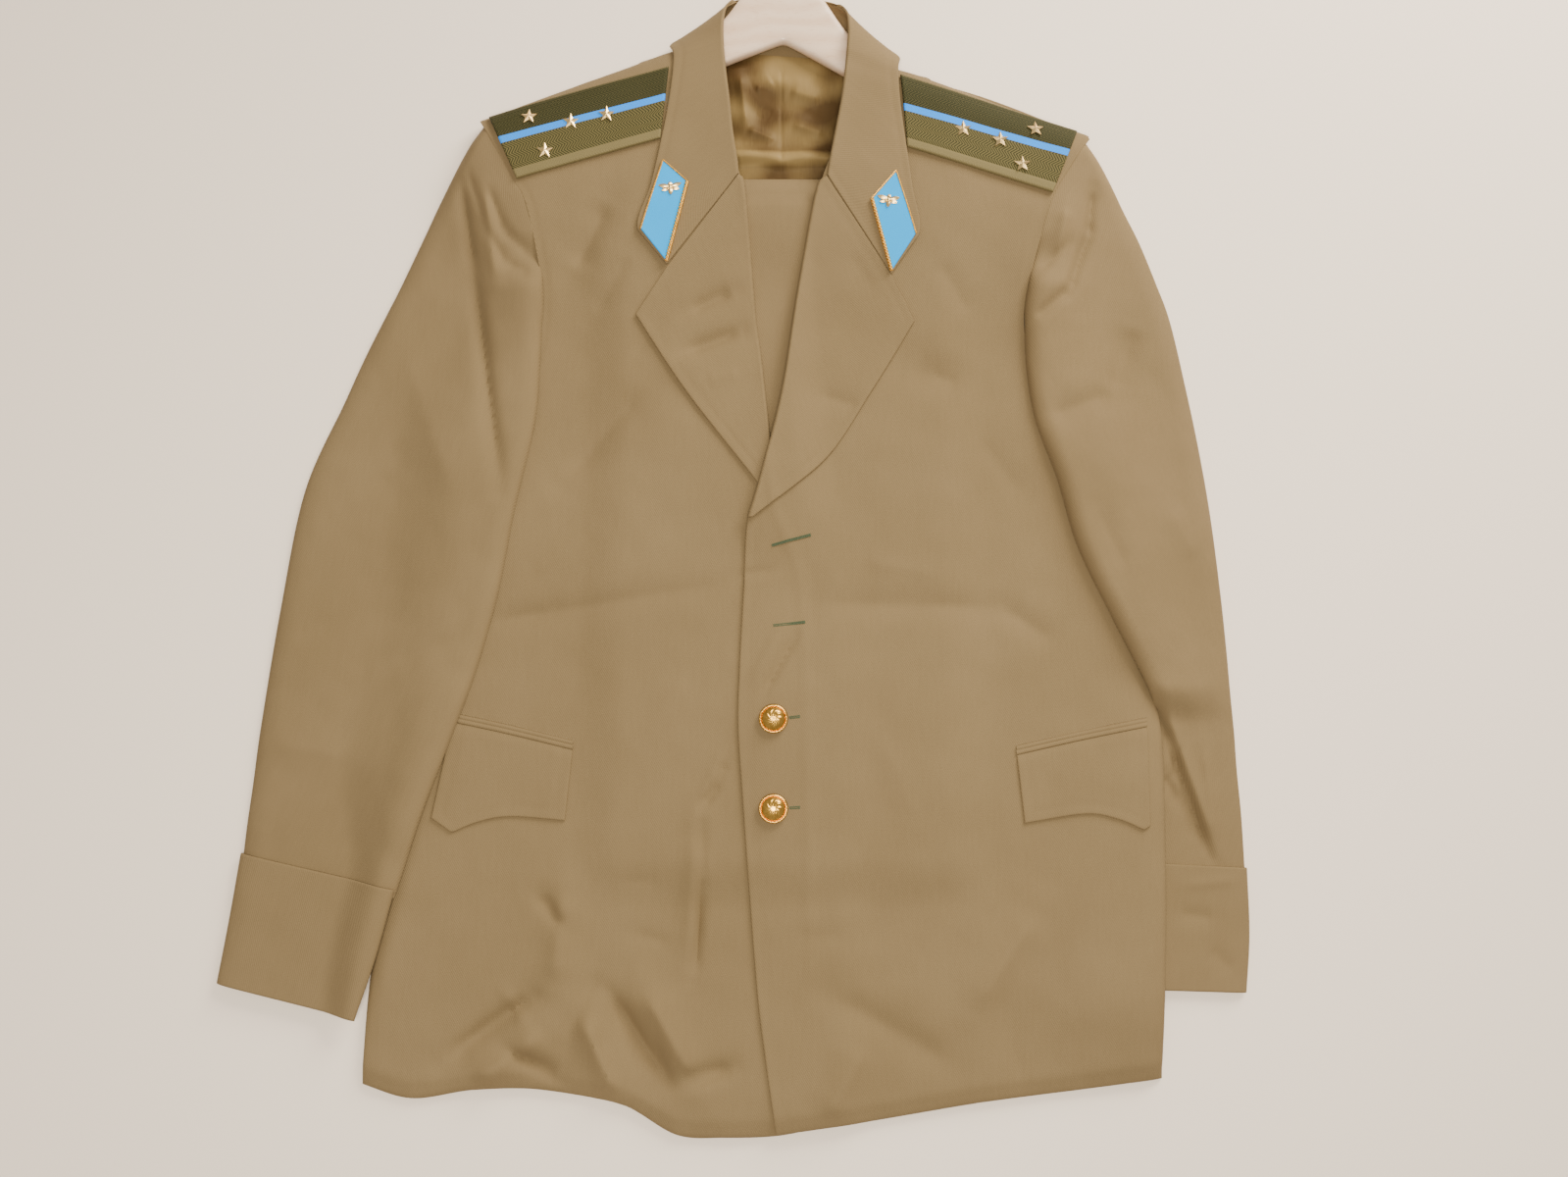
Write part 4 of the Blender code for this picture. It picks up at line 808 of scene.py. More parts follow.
def body_height(x, y):
    """Outer face of the right front, and of the left front where nothing else lies under it."""
    inward = np.minimum(x - side_x(RIGHT_SIDE, y), side_x(LEFT_SIDE, y) - x)
    above_hem = y - np.interp(x, HEM[:, 0], HEM[:, 1])
    level = body_level(x, y) + soft_folds(x, y, BODY_FOLDS)
    level = level + 0.7 * uneven(x, y, 80.0, 1.0) + 0.3 * uneven(x, y, 27.0, 4.0)
    over_legs = ease((LEGS_HALF_WIDTH + 8.0 - np.abs(x)) / 8.0) * ease((y - LEGS_BOTTOM + 8.0) / 8.0)
    least = LEAST_LEVEL + LEAST_RISE * over_legs
    level = least + np.log1p(np.exp(np.minimum((level - least) / LEAST_BLEND, 40.0))) * LEAST_BLEND
    level = HEM_LEVEL + (level - HEM_LEVEL) * dome(above_hem / HEM_TURN)
    level = CLOTH + (level - CLOTH) * dome(inward / SIDE_TURN)
    fine = soft_folds(x, y, FINE_CREASES) * ease(inward / 20.0) * ease(above_hem / 12.0)
    level = level + fine + 1.12 * tuck_lift(x, y) - HEM_DROOP * (1.0 - ease(above_hem / 16.0))
    return np.maximum(level, CLOTH + 0.05)


def front_edges(side, step=2.9):
    """The four edges of a front: hem, shoulder, inner edge and outer edge, as smooth points."""
    inner, shoulder, flank, armhole, corner = FRONT_LINES[side]
    rows = stepped(860.0, step, EDGE_STEPS, EDGE_STEPS)
    columns = stepped(290.0, step, EDGE_STEPS, EDGE_STEPS)
    nearest, furthest = sorted((inner[0, 0], corner[0]))
    between = [point for point in HEM if nearest < point[0] < furthest]
    hem_line = sorted([inner[0], corner, *between], key=lambda point: abs(point[0] - inner[0, 0]))
    low = smooth_line(hem_line, columns)
    high = smooth_line(shoulder, columns)
    start = smooth_line(inner, rows)
    finish = smooth_line(np.vstack([corner[None], flank[2:], armhole[1:]]), rows)
    return low, high, start, finish


def outline_of(edges):
    """One closed outline from four edges."""
    low, high, start, finish = edges
    return np.vstack([low, finish[1:], high[::-1][1:], start[::-1][1:-1]])


def lapel_outline(side):
    """Closed outline of a lapel: free edge, gorge and roll line."""
    free, gorge_top, _ = LAPEL_LINES[side]
    roll = [point for point in FRONT_LINES[side][0] if free[0, 1] < point[1] < gorge_top[1]]
    return np.vstack([free, [gorge_top], roll[::-1]])


FRONT_OUTLINE = {side: outline_of(front_edges(side, 24.0)) for side in ("left", "right")}
RIGHT_LAPEL_OUTLINE = lapel_outline("right")


def left_front_height(x, y):
    """Outer face of the left front, lifted where it lies on the right front and the right lapel."""
    lift = (CLOTH + LAID_GAP) * cover(x, y, FRONT_OUTLINE["right"], 34.0, 18.0)
    lift = lift + (THIN_CLOTH + LAPEL_GAP) * cover(x, y, RIGHT_LAPEL_OUTLINE, 34.0, 16.0)
    inner_line = smooth_line(RIGHT_INNER, np.linspace(0, 1, 80))
    over_edge = x - np.interp(y, inner_line[:, 1], inner_line[:, 0])
    ridge = EDGE_RIDGE * np.exp(-(((over_edge + 2.0) / 4.5) ** 2))
    lift = lift + ridge * ease((y + 320.0) / 60.0) * ease((140.0 - y) / 50.0)
    return body_height(x, y) + lift


def front_height(side, x, y):
    """Outer face of one front."""
    return left_front_height(x, y) if side == "left" else body_height(x, y)


def edge_distances(grid):
    """Distances of each point of a plan grid from its start, finish, low and high edges."""
    across = np.linalg.norm(np.diff(grid, axis=1), axis=2)
    upward = np.linalg.norm(np.diff(grid, axis=0), axis=2)
    from_start = np.concatenate([np.zeros((len(grid), 1)), np.cumsum(across, axis=1)], axis=1)
    from_low = np.concatenate([np.zeros((1, grid.shape[1])), np.cumsum(upward, axis=0)], axis=0)
    return from_start, from_start[:, -1:] - from_start, from_low, from_low[-1:] - from_low


def bagged_edge(top, distance, thickness, pressed=0.3):
    """Rounds a face over towards a bagged-out edge and leaves the mark of the pressed seam inside it."""
    rounded = top - 0.62 * thickness * (1.0 - dome(distance / (0.9 * thickness)))
    return rounded - pressed * np.exp(-(((distance - 7.5) / 2.2) ** 2))


def cloth_piece(name, grid, top, thickness, finish, edges, grain=None, ripple=0.35):
    """A laid piece of cloth with rounded edges; edges are the distances from those that are rounded."""
    x, y = grid[..., 0], grid[..., 1]
    top = top + ripple * uneven(x, y, 55.0, 1.7) + 0.4 * ripple * uneven(x, y, 19.0, 5.1)
    nearest = np.minimum.reduce(edges)
    outer = np.dstack([grid, bagged_edge(top, nearest, thickness)])
    inner = np.dstack([grid, top - thickness])
    grain = grid if grain is None else grain
    return wall(name, outer, inner, finish, grain), outer


for side in ("right", "left"):
    plan = coons(*front_edges(side))
    from_start, from_finish, from_low, from_high = edge_distances(plan)
    top = front_height(side, plan[..., 0], plan[..., 1])
    armhole_seam = np.where(plan[..., 1] > UNDERARM_Y, from_finish, 50.0)
    edges = [from_start, from_low, from_high, armhole_seam, from_finish + 0.6]
    front, face = cloth_piece(f"front_{side}_panel", plan, top, FRONT_CLOTH, gabardine, edges)
    finish_piece(front, "khaki_cloth", f"front_{side}")
    declare_cloth(face)

# Each lapel is the facing of its front, turned outwards over the front along the roll line. The roll
# is soft and stays open; the other edges are bagged out and pressed flat.
LAPEL_CLOTH = 1.6
ROLL_RADIUS = 3.0
# A sewn edge is rounded less than a free one, as if it lay this far inside
SEWN_EDGE = 0.9
# Creases of the lapels: ends, half width and height
LAPEL_CREASES = {
    "right": [(-73, 218, -40, 234, 9, -1.5), (-76, 186, -32, 201, 8, -1.7), (-60, 160, -34, 168, 8, 0.9)],
    "left": [(60, 140, 26, 150, 10, -0.7), (70, 232, 52, 262, 12, -0.9)],
}


def corner_line(points, fractions):
    """Points along straight runs, for an edge with a real corner in it."""
    points = np.asarray(points, float)
    along = length_run(points)
    along /= along[-1]
    places = np.array(fractions)
    for mark in along[1:-1]:
        places[np.argmin(abs(places - mark))] = mark
    return points_at(points, along, places)


def rolled_edge(face, grain, below, radius, steps=7):
    """Adds a half-round roll before the first column of a face and of its grain, down to the height below."""
    first, second = face[:, 0], face[:, 1]
    out = first[:, :2] - second[:, :2]
    out /= np.linalg.norm(out, axis=1)[:, None] + 1e-9
    middle_z = (first[:, 2] + below) / 2
    half = (first[:, 2] - below) / 2
    rings = []
    for turn in np.linspace(-math.pi / 2, math.pi / 2, steps + 2)[:-1]:
        bulge = radius * math.cos(turn)
        rings.append(np.column_stack([first[:, :2] + out * bulge, middle_z + half * math.sin(turn)]))
    face = np.concatenate([np.stack(rings, axis=1), face], axis=1)
    return face, np.concatenate([np.repeat(grain[:, :1], len(rings), axis=1), grain], axis=1)


def shell(name, face, thickness, finish, grain):
    """Cloth from its outer face alone, given its thickness on the inner side."""
    rows, columns = face.shape[:2]
    mesh_faces = quads(rows, columns)
    edge = np.cross(face[1:, :-1] - face[:-1, :-1], face[:-1, 1:] - face[:-1, :-1])
    if edge[..., 2].sum() > 0:
        mesh_faces = mesh_faces[:, ::-1]
    made = make_piece(name, face, mesh_faces, finish, grain, crisp=0.0)
    thicken = made.modifiers.new("thickness", "SOLIDIFY")
    thicken.thickness = thickness * MM
    thicken.offset = -1.0
    return made


for side in ("right", "left"):
    free, gorge_top, foot_shift = LAPEL_LINES[side]
    roll = [point for point in FRONT_LINES[side][0] if free[0, 1] + 4 < point[1] < gorge_top[1] - 6]
    rows = stepped(290.0, 3.0, EDGE_STEPS, EDGE_STEPS)
    columns = stepped(100.0, 2.6, (1.5,), EDGE_STEPS)
    start = smooth_line(np.vstack([[free[0]], np.array(roll), [gorge_top]]), rows)
    finish_line = smooth_line(np.vstack([[free[0] + foot_shift], free[1:4]]), rows)
    low = np.linspace(start[0], finish_line[0], len(columns))
    high = corner_line([gorge_top, free[4], free[3]], columns)
    plan = coons(low, high, start, finish_line)
    x, y = plan[..., 0], plan[..., 1]
    from_start, from_finish, from_low, from_high = edge_distances(plan)
    top = front_height(side, x, y) + THIN_CLOTH + LAPEL_GAP - 0.3
    top = top + soft_folds(x, y, LAPEL_CREASES[side]) * ease(from_start / 14.0) * ease(from_finish / 14.0)
    top = top + 0.3 * uneven(x, y, 50.0, 8.0) + 1.0 * np.exp(-from_start / 9.0)
    top = bagged_edge(top, np.minimum(from_finish, from_high + SEWN_EDGE), LAPEL_CLOTH)
    face = np.dstack([plan, top])
    below = front_height(side, start[:, 0], start[:, 1]) - FRONT_CLOTH
    grain = np.dstack([x * 0.94 + y * 0.34, y * 0.94 - x * 0.34])
    face, grain = rolled_edge(face, grain, below, ROLL_RADIUS)
    lapel = shell(f"lapel_{side}_facing", face, LAPEL_CLOTH, gabardine, grain)
    finish_piece(lapel, "khaki_cloth", f"lapel_{side}")
    declare_cloth(face)

# The collar is one leaf of gabardine on a stand. It is turned over at the roll, lies on both fronts
# and goes flat under the back of the neck. The stand is seen on the inside, behind the hanger.
ON_FRONT = 99.0
COLLAR_CLOTH = 1.7
STAND_CLOTH = 1.5
STAND_LEVEL = 6.0
COLLAR_MIDDLE = 9
LAST_SECTION = 18
# Sections at each end of the collar that lie on a front
LAID_SECTIONS = 4
# The roll's lower side lies this far above the leaf behind the neck, and so much lower where the leaf is high
UNDER_ROLL = 3.5
UNDER_ROLL_FALL = 8.7
COLLAR_ROLL_RADIUS = 2.2
# Roll and free edge in sections from the wearer's right front round the neck to the left front
COLLAR = np.array([
    (-37, 324, ON_FRONT, -92, 253, ON_FRONT),
    (-38, 334, ON_FRONT, -115, 280, ON_FRONT),
    (-42, 360, ON_FRONT, -105, 316, ON_FRONT),
    (-45, 388, ON_FRONT, -97, 354, ON_FRONT),
    (-48, 412, ON_FRONT, -91, 389, ON_FRONT),
    (-50, 435, 30, -88, 424, 27.5),
    (-50, 456, 26, -92, 441, 12),
    (-46, 473, 16, -81, 449, 3.5),
    (-33, 482, 2.6, -58, 447, 0),
    (0, 484, 1.0, 0, 432, 0),
    (35, 480, 2.6, 60, 442, 0),
    (50, 468, 16, 82, 440, 3.5),
    (53, 450, 26, 93, 431, 12),
    (52, 430, 30, 91, 414, 27.5),
    (50, 410, ON_FRONT, 92, 386, ON_FRONT),
    (47, 387, ON_FRONT, 96, 352, ON_FRONT),
    (42, 360, ON_FRONT, 101, 314, ON_FRONT),
    (37, 334, ON_FRONT, 106, 276, ON_FRONT),
    (35, 323, ON_FRONT, 84, 245, ON_FRONT),
], float)


def collar_height(side, x, y):
    """Outer face of the collar leaf where it lies on a front."""
    return front_height(side, x, y) + THIN_CLOTH + LAID_GAP + 0.6


def section_at(sections, mark):
    """One section between the given ones, by a smooth curve through them."""
    last = len(sections) - 1
    low = min(int(mark), last - 1)
    t = mark - low
    a, b = sections[max(low - 1, 0)], sections[low]
    c, d = sections[low + 1], sections[min(low + 2, last)]
    value = 2 * b + (c - a) * t + (2 * a - 5 * b + 4 * c - d) * t**2
    return (value + (3 * b - a - 3 * c + d) * t**3) / 2


sections = COLLAR.copy()
for section in sections:
    side = "right" if section[0] < 0 else "left"
    for first in (0, 3):
        if section[first + 2] == ON_FRONT:
            section[first + 2] = float(collar_height(side, section[first], section[first + 1]))
ends = np.array((0.0, 0.02, 0.05, 0.1, 0.18, 0.3, 0.45, 0.6, 0.8))
marks = np.concatenate([ends, np.arange(1.0, LAST_SECTION - 0.99, 0.125), LAST_SECTION - ends[::-1]])
line = np.array([section_at(sections, mark) for mark in marks])
for row in np.flatnonzero((marks < 1.0) | (marks > LAST_SECTION - 1.0)):
    low = min(int(marks[row]), LAST_SECTION - 1)
    line[row] = sections[low] + (sections[low + 1] - sections[low]) * (marks[row] - low)
columns = stepped(60.0, 2.0, (1.0,), EDGE_STEPS)
leaf = line[:, None, :3] * (1 - columns[None, :, None]) + line[:, None, 3:] * columns[None, :, None]
for row, mark in enumerate(marks):
    from_end = min(mark, LAST_SECTION - mark)
    if from_end <= LAID_SECTIONS + 1:
        side = "right" if mark < COLLAR_MIDDLE else "left"
        laid = collar_height(side, leaf[row, :, 0], leaf[row, :, 1])
        share = ease(from_end - LAID_SECTIONS)
        leaf[row, :, 2] = laid * (1 - share) + leaf[row, :, 2] * share
from_start, from_finish, from_low, from_high = edge_distances(leaf[..., :2])
leaf[..., 2] += 0.9 * np.exp(-from_start / 8.0)
sewn = np.minimum(from_low, from_high) + SEWN_EDGE
leaf[..., 2] = bagged_edge(leaf[..., 2], np.minimum(from_finish, sewn), COLLAR_CLOTH)
turned = ease(1.0 - np.abs(np.abs(marks - COLLAR_MIDDLE) - 2.4) / 1.4)[:, None]
leaf[..., 2] = np.maximum(leaf[..., 2], 0.35 + 1.6 * turned)
# On the fronts the roll comes up from under the leaf, and behind the neck down from the stand
how_high = ease((leaf[:, 0, 2] - 2.0) / 22.0)
below = np.maximum(leaf[:, 0, 2] + UNDER_ROLL - UNDER_ROLL_FALL * how_high, 0.3)
grain = np.dstack([np.repeat(length_run(leaf[:, 0])[:, None], leaf.shape[1], axis=1), from_start])
leaf, grain = rolled_edge(leaf, grain, below, COLLAR_ROLL_RADIUS)
collar = shell("collar_leaf", leaf, COLLAR_CLOTH, gabardine, grain)
finish_piece(collar, "khaki_cloth", "collar")
declare_cloth(leaf)

u = np.linspace(0.0, 1.0, 40)[None, :, None]
v = np.linspace(0.0, 1.0, 16)[:, None, None]
corners = np.array([(-40, 450.5), (41, 445.5), (34, 478), (-32, 479.5)], float)
plan = between_corners(corners, u, v)
top = STAND_LEVEL + 0.25 * uneven(plan[..., 0], plan[..., 1], 14.0, 2.0)
edges = edge_distances(plan)
stand, face = cloth_piece("collar_stand_band", plan, top, STAND_CLOTH, gabardine, edges, ripple=0.0)
finish_piece(stand, "khaki_cloth", "collar_stand")
declare_cloth(face)

# The sleeves are tubes of gabardine, a top piece and an under piece, set into the armholes with a
# little fullness. They lie flat with the arm's crease at each edge and are folded over the body's side.
# Inner edge, outer edge and crown of the sleeves, from the armhole down
SLEEVE = {
    "right": np.array([
        (-241, 374, -242.6, 372, 1.5), (-228, 348, -262, 338, 6), (-213, 321, -276, 309, 7),
        (-201, 298, -287, 283, 7), (-191, 246, -305, 241, 7), (-190, 215, -316, 217, 7),
        (-191, 180, -331, 184, 6.5), (-194, 129, -346, 147, 6), (-208, 60, -374, 77, 6),
        (-220, -9, -389, -16, 6), (-238, -77, -400, -106, 6), (-256, -129, -404, -150, 6),
        (-270, -168, -407, -180, 6), (-291, -235, -409, -206, 6),
    ], float),
    "left": np.array([
        (242, 359, 243.6, 357, 1.5), (228, 335, 262, 324, 6), (212, 308, 273, 301, 7),
        (203, 280, 284, 277, 8), (194, 246, 296, 244, 9), (189, 212, 306, 213, 10),
        (190, 170, 316, 162, 10), (196, 130, 324, 116, 10), (212, 83, 331, 65, 11),
        (226, 31, 336, 15, 11), (251, -24, 340, -40, 10), (273, -70, 342, -80, 8),
        (284, -100, 344, -110, 5), (282, -126, 345, -140, 3.4), (264, -160, 347, -175, 3.2),
        (250, -212, 348, -217, 3.2),
    ], float),
}
SLEEVE_ROWS = 220
# The under piece floats this far over what it lies on
SLEEVE_CLEAR = 1.1
# How far beyond the body's side a sleeve comes down to the floor: at the cuff, and so much more above it
FALL_AT_CUFF = 30.0
FALL_ABOVE = 34.0
# Folds and creases of the sleeves: ends, half width and height
SLEEVE_FOLDS = {
    "right": [
        (-256, 322, -246, 256, 5.6, -3.8),
        (-248, 264, -218, 72, 6.6, -4.4),
        (-236, 316, -226, 240, 8, 3.2),
        (-233, 315, -219, 279, 4.4, -2.2),
        (-222, 284, -199, 263, 4.8, -2.4),
        (-238, 290, -218, 254, 4.4, -2.0),
        (-219, 256, -198, 246, 4.8, -2.2),
        (-250, 330, -236, 290, 3.6, -1.8),
        (-300, 190, -250, 60, 23.4, 2.2),
        (-352, 60, -300, 90, 12.6, -1.3),
        (-380, -40, -330, -20, 11.7, -1.1),
        (-300, -60, -250, -40, 10.8, -1.3),
        (-330, -130, -390, -120, 12.6, 1.3),
    ],
    "left": [
        (244, 316, 240, 276, 5.6, -3.4),
        (241, 282, 222, 230, 5.2, -3.6),
        (226, 236, 194, 208, 5.2, -3.6),
        (222, 300, 214, 258, 8.1, 3.6),
        (276, 208, 256, 151, 14.4, -4),
        (256, 151, 204, 131, 12.6, -3.2),
        (288, -84, 326, -204, 7.4, 3.4),
        (281, -88, 293, -118, 3.4, -3.4),
        (292, -114, 322, -206, 3.8, -4.2),
        (300, -150, 312, -196, 7.2, -2.2),
        (199, 248, 223, 271, 4.6, -2.4),
        (288, -143, 300, -166, 5.4, -2.9),
        (300, -118, 296, -150, 6.3, -2.2),
        (318, -120, 326, -196, 7.2, 2.2),
        (296, 60, 318, 20, 12.6, 1.6),
        (240, 60, 262, 10, 10.8, -1.6),
    ],
}
# Along the armhole the sleeve is moved this far toward the body, so that the seam stays closed
SEAM_REACH = {"right": 0.9, "left": -0.9}


def sleeve_grid(sections, fractions, across, inset=(0.0, 0.0)):
    """Plan grid of a sleeve between its two edges, with the crown height of each row."""
    line = smooth_line(sections, fractions)
    inner, outer, crown = line[:, 0:2], line[:, 2:4], line[:, 4]
    width = np.linalg.norm(outer - inner, axis=1)
    first = np.minimum(inset[0] / width, 0.45)
    last = 1.0 - np.minimum(inset[1] / width, 0.45)
    u = first[:, None] + (last - first)[:, None] * np.asarray(across)[None, :]
    grid = inner[:, None, :] * (1 - u[..., None]) + outer[:, None, :] * u[..., None]
    return grid, u * width[:, None], (1 - u) * width[:, None], crown[:, None]


def at_armhole(y):
    """1 beside the armhole seam, 0 below it, where the sleeve lies on the body."""
    return ease((y - 232.0) / 50.0)


def sleeve_base(side, x, y):
    """What the sleeve lies on: the body's side, the pocket flap on it, or the floor."""
    there = ease((y + 105.0) / 30.0) if side == "left" else 1.0
    inward = inside_distance(x, y, FRONT_OUTLINE[side])
    over = 1.0 - ease((-4.0 - inward) / (FALL_AT_CUFF + FALL_ABOVE * ease((y + 230.0) / 120.0)))
    base = (body_level(x, y) + tuck_lift(x, y) + 1.3) * over * there
    if side == "right":
        base = base + 3.2 * cover(x, y, RIGHT_FLAP_OUTLINE, 30.0, 14.0)
    return base * (1.0 - at_armhole(y))


def sleeve_height(side, x, y, from_inner, from_outer, crown):
    """Outer face of a sleeve."""
    rest = sleeve_base(side, x, y) + SLEEVE_CLEAR
    seam = at_armhole(y)
    near_seam = seam * (1.0 - ease(from_inner / 80.0))
    level = body_level(x, y) * near_seam + (rest + crown + 0.9) * (1.0 - near_seam)
    soft = soft_folds(x, y, SLEEVE_FOLDS[side])
    soft = soft + 0.5 * uneven(x, y, 48.0, 2.2) + 0.2 * uneven(x, y, 17.0, 6.0)
    turn = dome(from_inner / 14.0)
    turn = turn + (1.0 - turn) * seam
    return rest + (level + soft - rest) * turn * dome(from_outer / 18.0)


def round_tube(upper, under):
    """One ring of columns from the upper half of a flat tube and its under half."""
    return np.concatenate([upper, under[:, ::-1][:, 1:-1]], axis=1)


RIGHT_FLAP_OUTLINE = np.array([
    (-160, -125), (-210, -113), (-252, -104), (-266, -176),
    (-250, -187), (-230, -179), (-206, -175), (-165, -178),
], float)
across = [[0, 0.004, 0.012, 0.024, 0.04], np.linspace(0.06, 0.92, 44), [0.945, 0.965, 0.98, 0.992, 1]]
across = np.concatenate(across)
for side in ("right", "left"):
    skins = []
    for inset, cloth in ((0.0, 0.0), (0.8, 0.7)):
        fractions = np.linspace(0, 1, SLEEVE_ROWS)
        grid, from_inner, from_outer, crown = sleeve_grid(SLEEVE[side], fractions, across, (inset, inset))
        beside = ease((grid[..., 1] - 206.0) / 14.0) * (1.0 - ease(from_inner / 20.0))
        grid[..., 0] += SEAM_REACH[side] * beside
        x, y = grid[..., 0], grid[..., 1]
        base = sleeve_base(side, x, y)
        top = sleeve_height(side, x, y, from_inner, from_outer, crown)
        seam_fall = at_armhole(y) * 0.7 * (1.0 - dome(from_inner / 2.0))
        share = np.minimum((top - base) / 6.0, 1.0)
        top = top - seam_fall - 2.0 * cloth * share
        low = base + SLEEVE_CLEAR - 0.85 * dome(from_inner / 5.0) * dome(from_outer / 5.0) + cloth * share
        top = np.maximum(top, low + 0.02)
        skins.append(round_tube(np.dstack([grid, top]), np.dstack([grid, low])))
    run = length_run(skins[0][:, len(across) // 2 - 2, :2])
    span = round_tube(from_inner, -from_inner)
    grain = np.dstack([span, np.repeat(-run[:, None], span.shape[1], axis=1)])
    sleeve = wall(f"sleeve_{side}_tube", skins[0], skins[1], gabardine, grain, ring=True)
    finish_piece(sleeve, "khaki_cloth", f"sleeve_{side}_top", f"sleeve_{side}_under")
    declare_cloth(skins[0], ring=True)

# A cuff is a deep band of gabardine turned back over the end of the sleeve and felled down along its
# upper edge, so that it stands a little proud of the sleeve.
CUFF_DEPTH = 100.0
# Inner edge, outer edge and crown
CUFF = {
    "right": [
        (-289.8, -229, -409.4, -202, 7.2), (-302.6, -280, -416, -252, 7.0), (-316.4, -324, -423, -298, 6.4),
    ],
    "left": [(250.6, -208, 349, -213, 3.2), (246, -258, 349, -262, 2.8), (243, -302, 345, -305, 2.4)],
}
# Dents that the side of the body has pressed into the left cuff: ends, half width and height
CUFF_DENTS = {
    "right": [],
    "left": [
        (296, -247, 322, -250, 8.0, -1.5),
        (318, -272, 336, -290, 9.0, -1.2),
        (300, -226, 340, -222, 5.0, 0.9),
    ],
}
for side in ("right", "left"):
    skins = []
    rows = stepped(CUFF_DEPTH, 2.5, EDGE_STEPS, EDGE_STEPS)
    for inset, cloth in ((0.0, 0.0), (1.4, 1.2)):
        grid, _, _, crown = sleeve_grid(CUFF[side], rows, across, (inset, inset))
        width = np.linalg.norm(grid[:, -1] - grid[:, 0], axis=1)[:, None]
        share = across[None, :] * width
        x, y = grid[..., 0], grid[..., 1]
        level = 2 * THIN_CLOTH + crown - 2.0 * cloth
        base = sleeve_base(side, x, y)
        swell = dome(share / 12.0) * dome((width - share) / 16.0)
        ends = 1.0 - np.minimum(rows, 1.0 - rows)[:, None] * CUFF_DEPTH / 1.6
        round_over = (0.5 if cloth else 1.1) * (1.0 - dome(1.0 - ends))
        crease = 0.35 * uneven(x, y, 30.0, 4.0) * swell + soft_folds(x, y, CUFF_DENTS[side]) * swell
        top = base + cloth + level * (0.5 + 0.5 * swell) - round_over + crease
        low = base + cloth + level * (0.5 - 0.5 * swell) + 0.25
        skins.append(round_tube(np.dstack([grid, top]), np.dstack([grid, low])))
    span = round_tube(share, -share)
    grain = np.dstack([span, np.repeat(rows[:, None] * CUFF_DEPTH, span.shape[1], axis=1)])
    cuff = wall(f"cuff_{side}_band", skins[0], skins[1], gabardine, grain, ring=True)
    finish_piece(cuff, "khaki_cloth", f"cuff_{side}")
    declare_cloth(skins[0], ring=True)

# The side pockets are jetted, with a shaped flap of gabardine hanging from the lower jetting. The
# flap's edges are bagged out like those of the lapels.
FLAP_GAP = 0.5
FLAP_CLOTH = 1.6
FLAP_LENGTH = 104.0
FLAP_DEPTH = 56.0
WELT_CLOTH = 1.3
FLAP_TOP = {
    "right": np.array([(-160, -125), (-210, -113), (-252, -104)], float),
    "left": np.array([(176, -129), (225, -118), (274, -108)], float),
}
FLAP_LOW = {
    "right": np.array([(-165, -178), (-206, -175), (-230, -179), (-250, -187), (-266, -176)], float),
    "left": np.array([(181, -180), (226, -173), (250, -177), (269, -185), (274, -182)], float),
}
WELT_WIDTH = 7.0


def flap_line(points, fractions):
    """The lower edge of a flap, curving to its point and turning sharply there."""
    before = smooth_line(points[:4], np.linspace(0, 1, 40))
    line = np.vstack([before, points[4:]])
    along = length_run(line)
    return points_at(line, along, fractions * along[-1])


for side in ("right", "left"):
    columns = stepped(FLAP_LENGTH, 2.4, EDGE_STEPS, EDGE_STEPS)
    high = smooth_line(FLAP_TOP[side], columns)
    low = flap_line(FLAP_LOW[side], columns)
    rise = stepped(FLAP_DEPTH, 2.4, EDGE_STEPS, (0.5, 1.2))[:, None, None]
    plan = low[None] * (1 - rise) + high[None] * rise
    top = front_height(side, plan[..., 0], plan[..., 1]) + FLAP_GAP + FLAP_CLOTH
    from_start, from_finish, from_low, from_high = edge_distances(plan)
    top = top - 0.8 * (1.0 - ease(from_high / 5.0))
    edges = [from_start, from_low, from_finish]
    flap, face = cloth_piece(f"pocket_{side}_flap", plan, top, FLAP_CLOTH, gabardine, edges)
    finish_piece(flap, "khaki_cloth", f"pocket_flap_{side}")
    declare_cloth(face)
    width = np.linspace(0.0, 1.0, 22)
    welt_plan = high[None] + np.dstack([np.zeros((22, 1)), (0.3 + (WELT_WIDTH - 0.3) * width)[:, None]])
    bead = 0.75 * np.abs(np.sin(width * 2 * math.pi))[:, None] ** 0.6
    top = front_height(side, welt_plan[..., 0], welt_plan[..., 1]) + 1.1 + bead
    face = np.dstack([welt_plan, top])
    welt = wall(f"pocket_{side}_jetting", face, face - (0, 0, WELT_CLOTH), gabardine, welt_plan)
    finish_piece(welt, "khaki_cloth", f"pocket_welt_{side}")

# The shoulder boards are stiff card covered with olive braid woven in a herringbone, with a sky-blue
# stripe woven down the middle and a plain khaki border along both sides. They are sewn on.
BOARD_THICK = 3.0
BOARD_CORNERS = {
    "right": np.array([(-210, 321), (-97.5, 354.5), (-91.5, 414), (-235, 376)], float),
    "left": np.array([(97, 347), (211, 310), (233, 364), (92.5, 409)], float),
}
BOARD_LENGTH = 118.0
BOARD_WIDTH = 60.0
STRIPE_WIDTH = 5.8
BORDER_WIDTH = 6.5
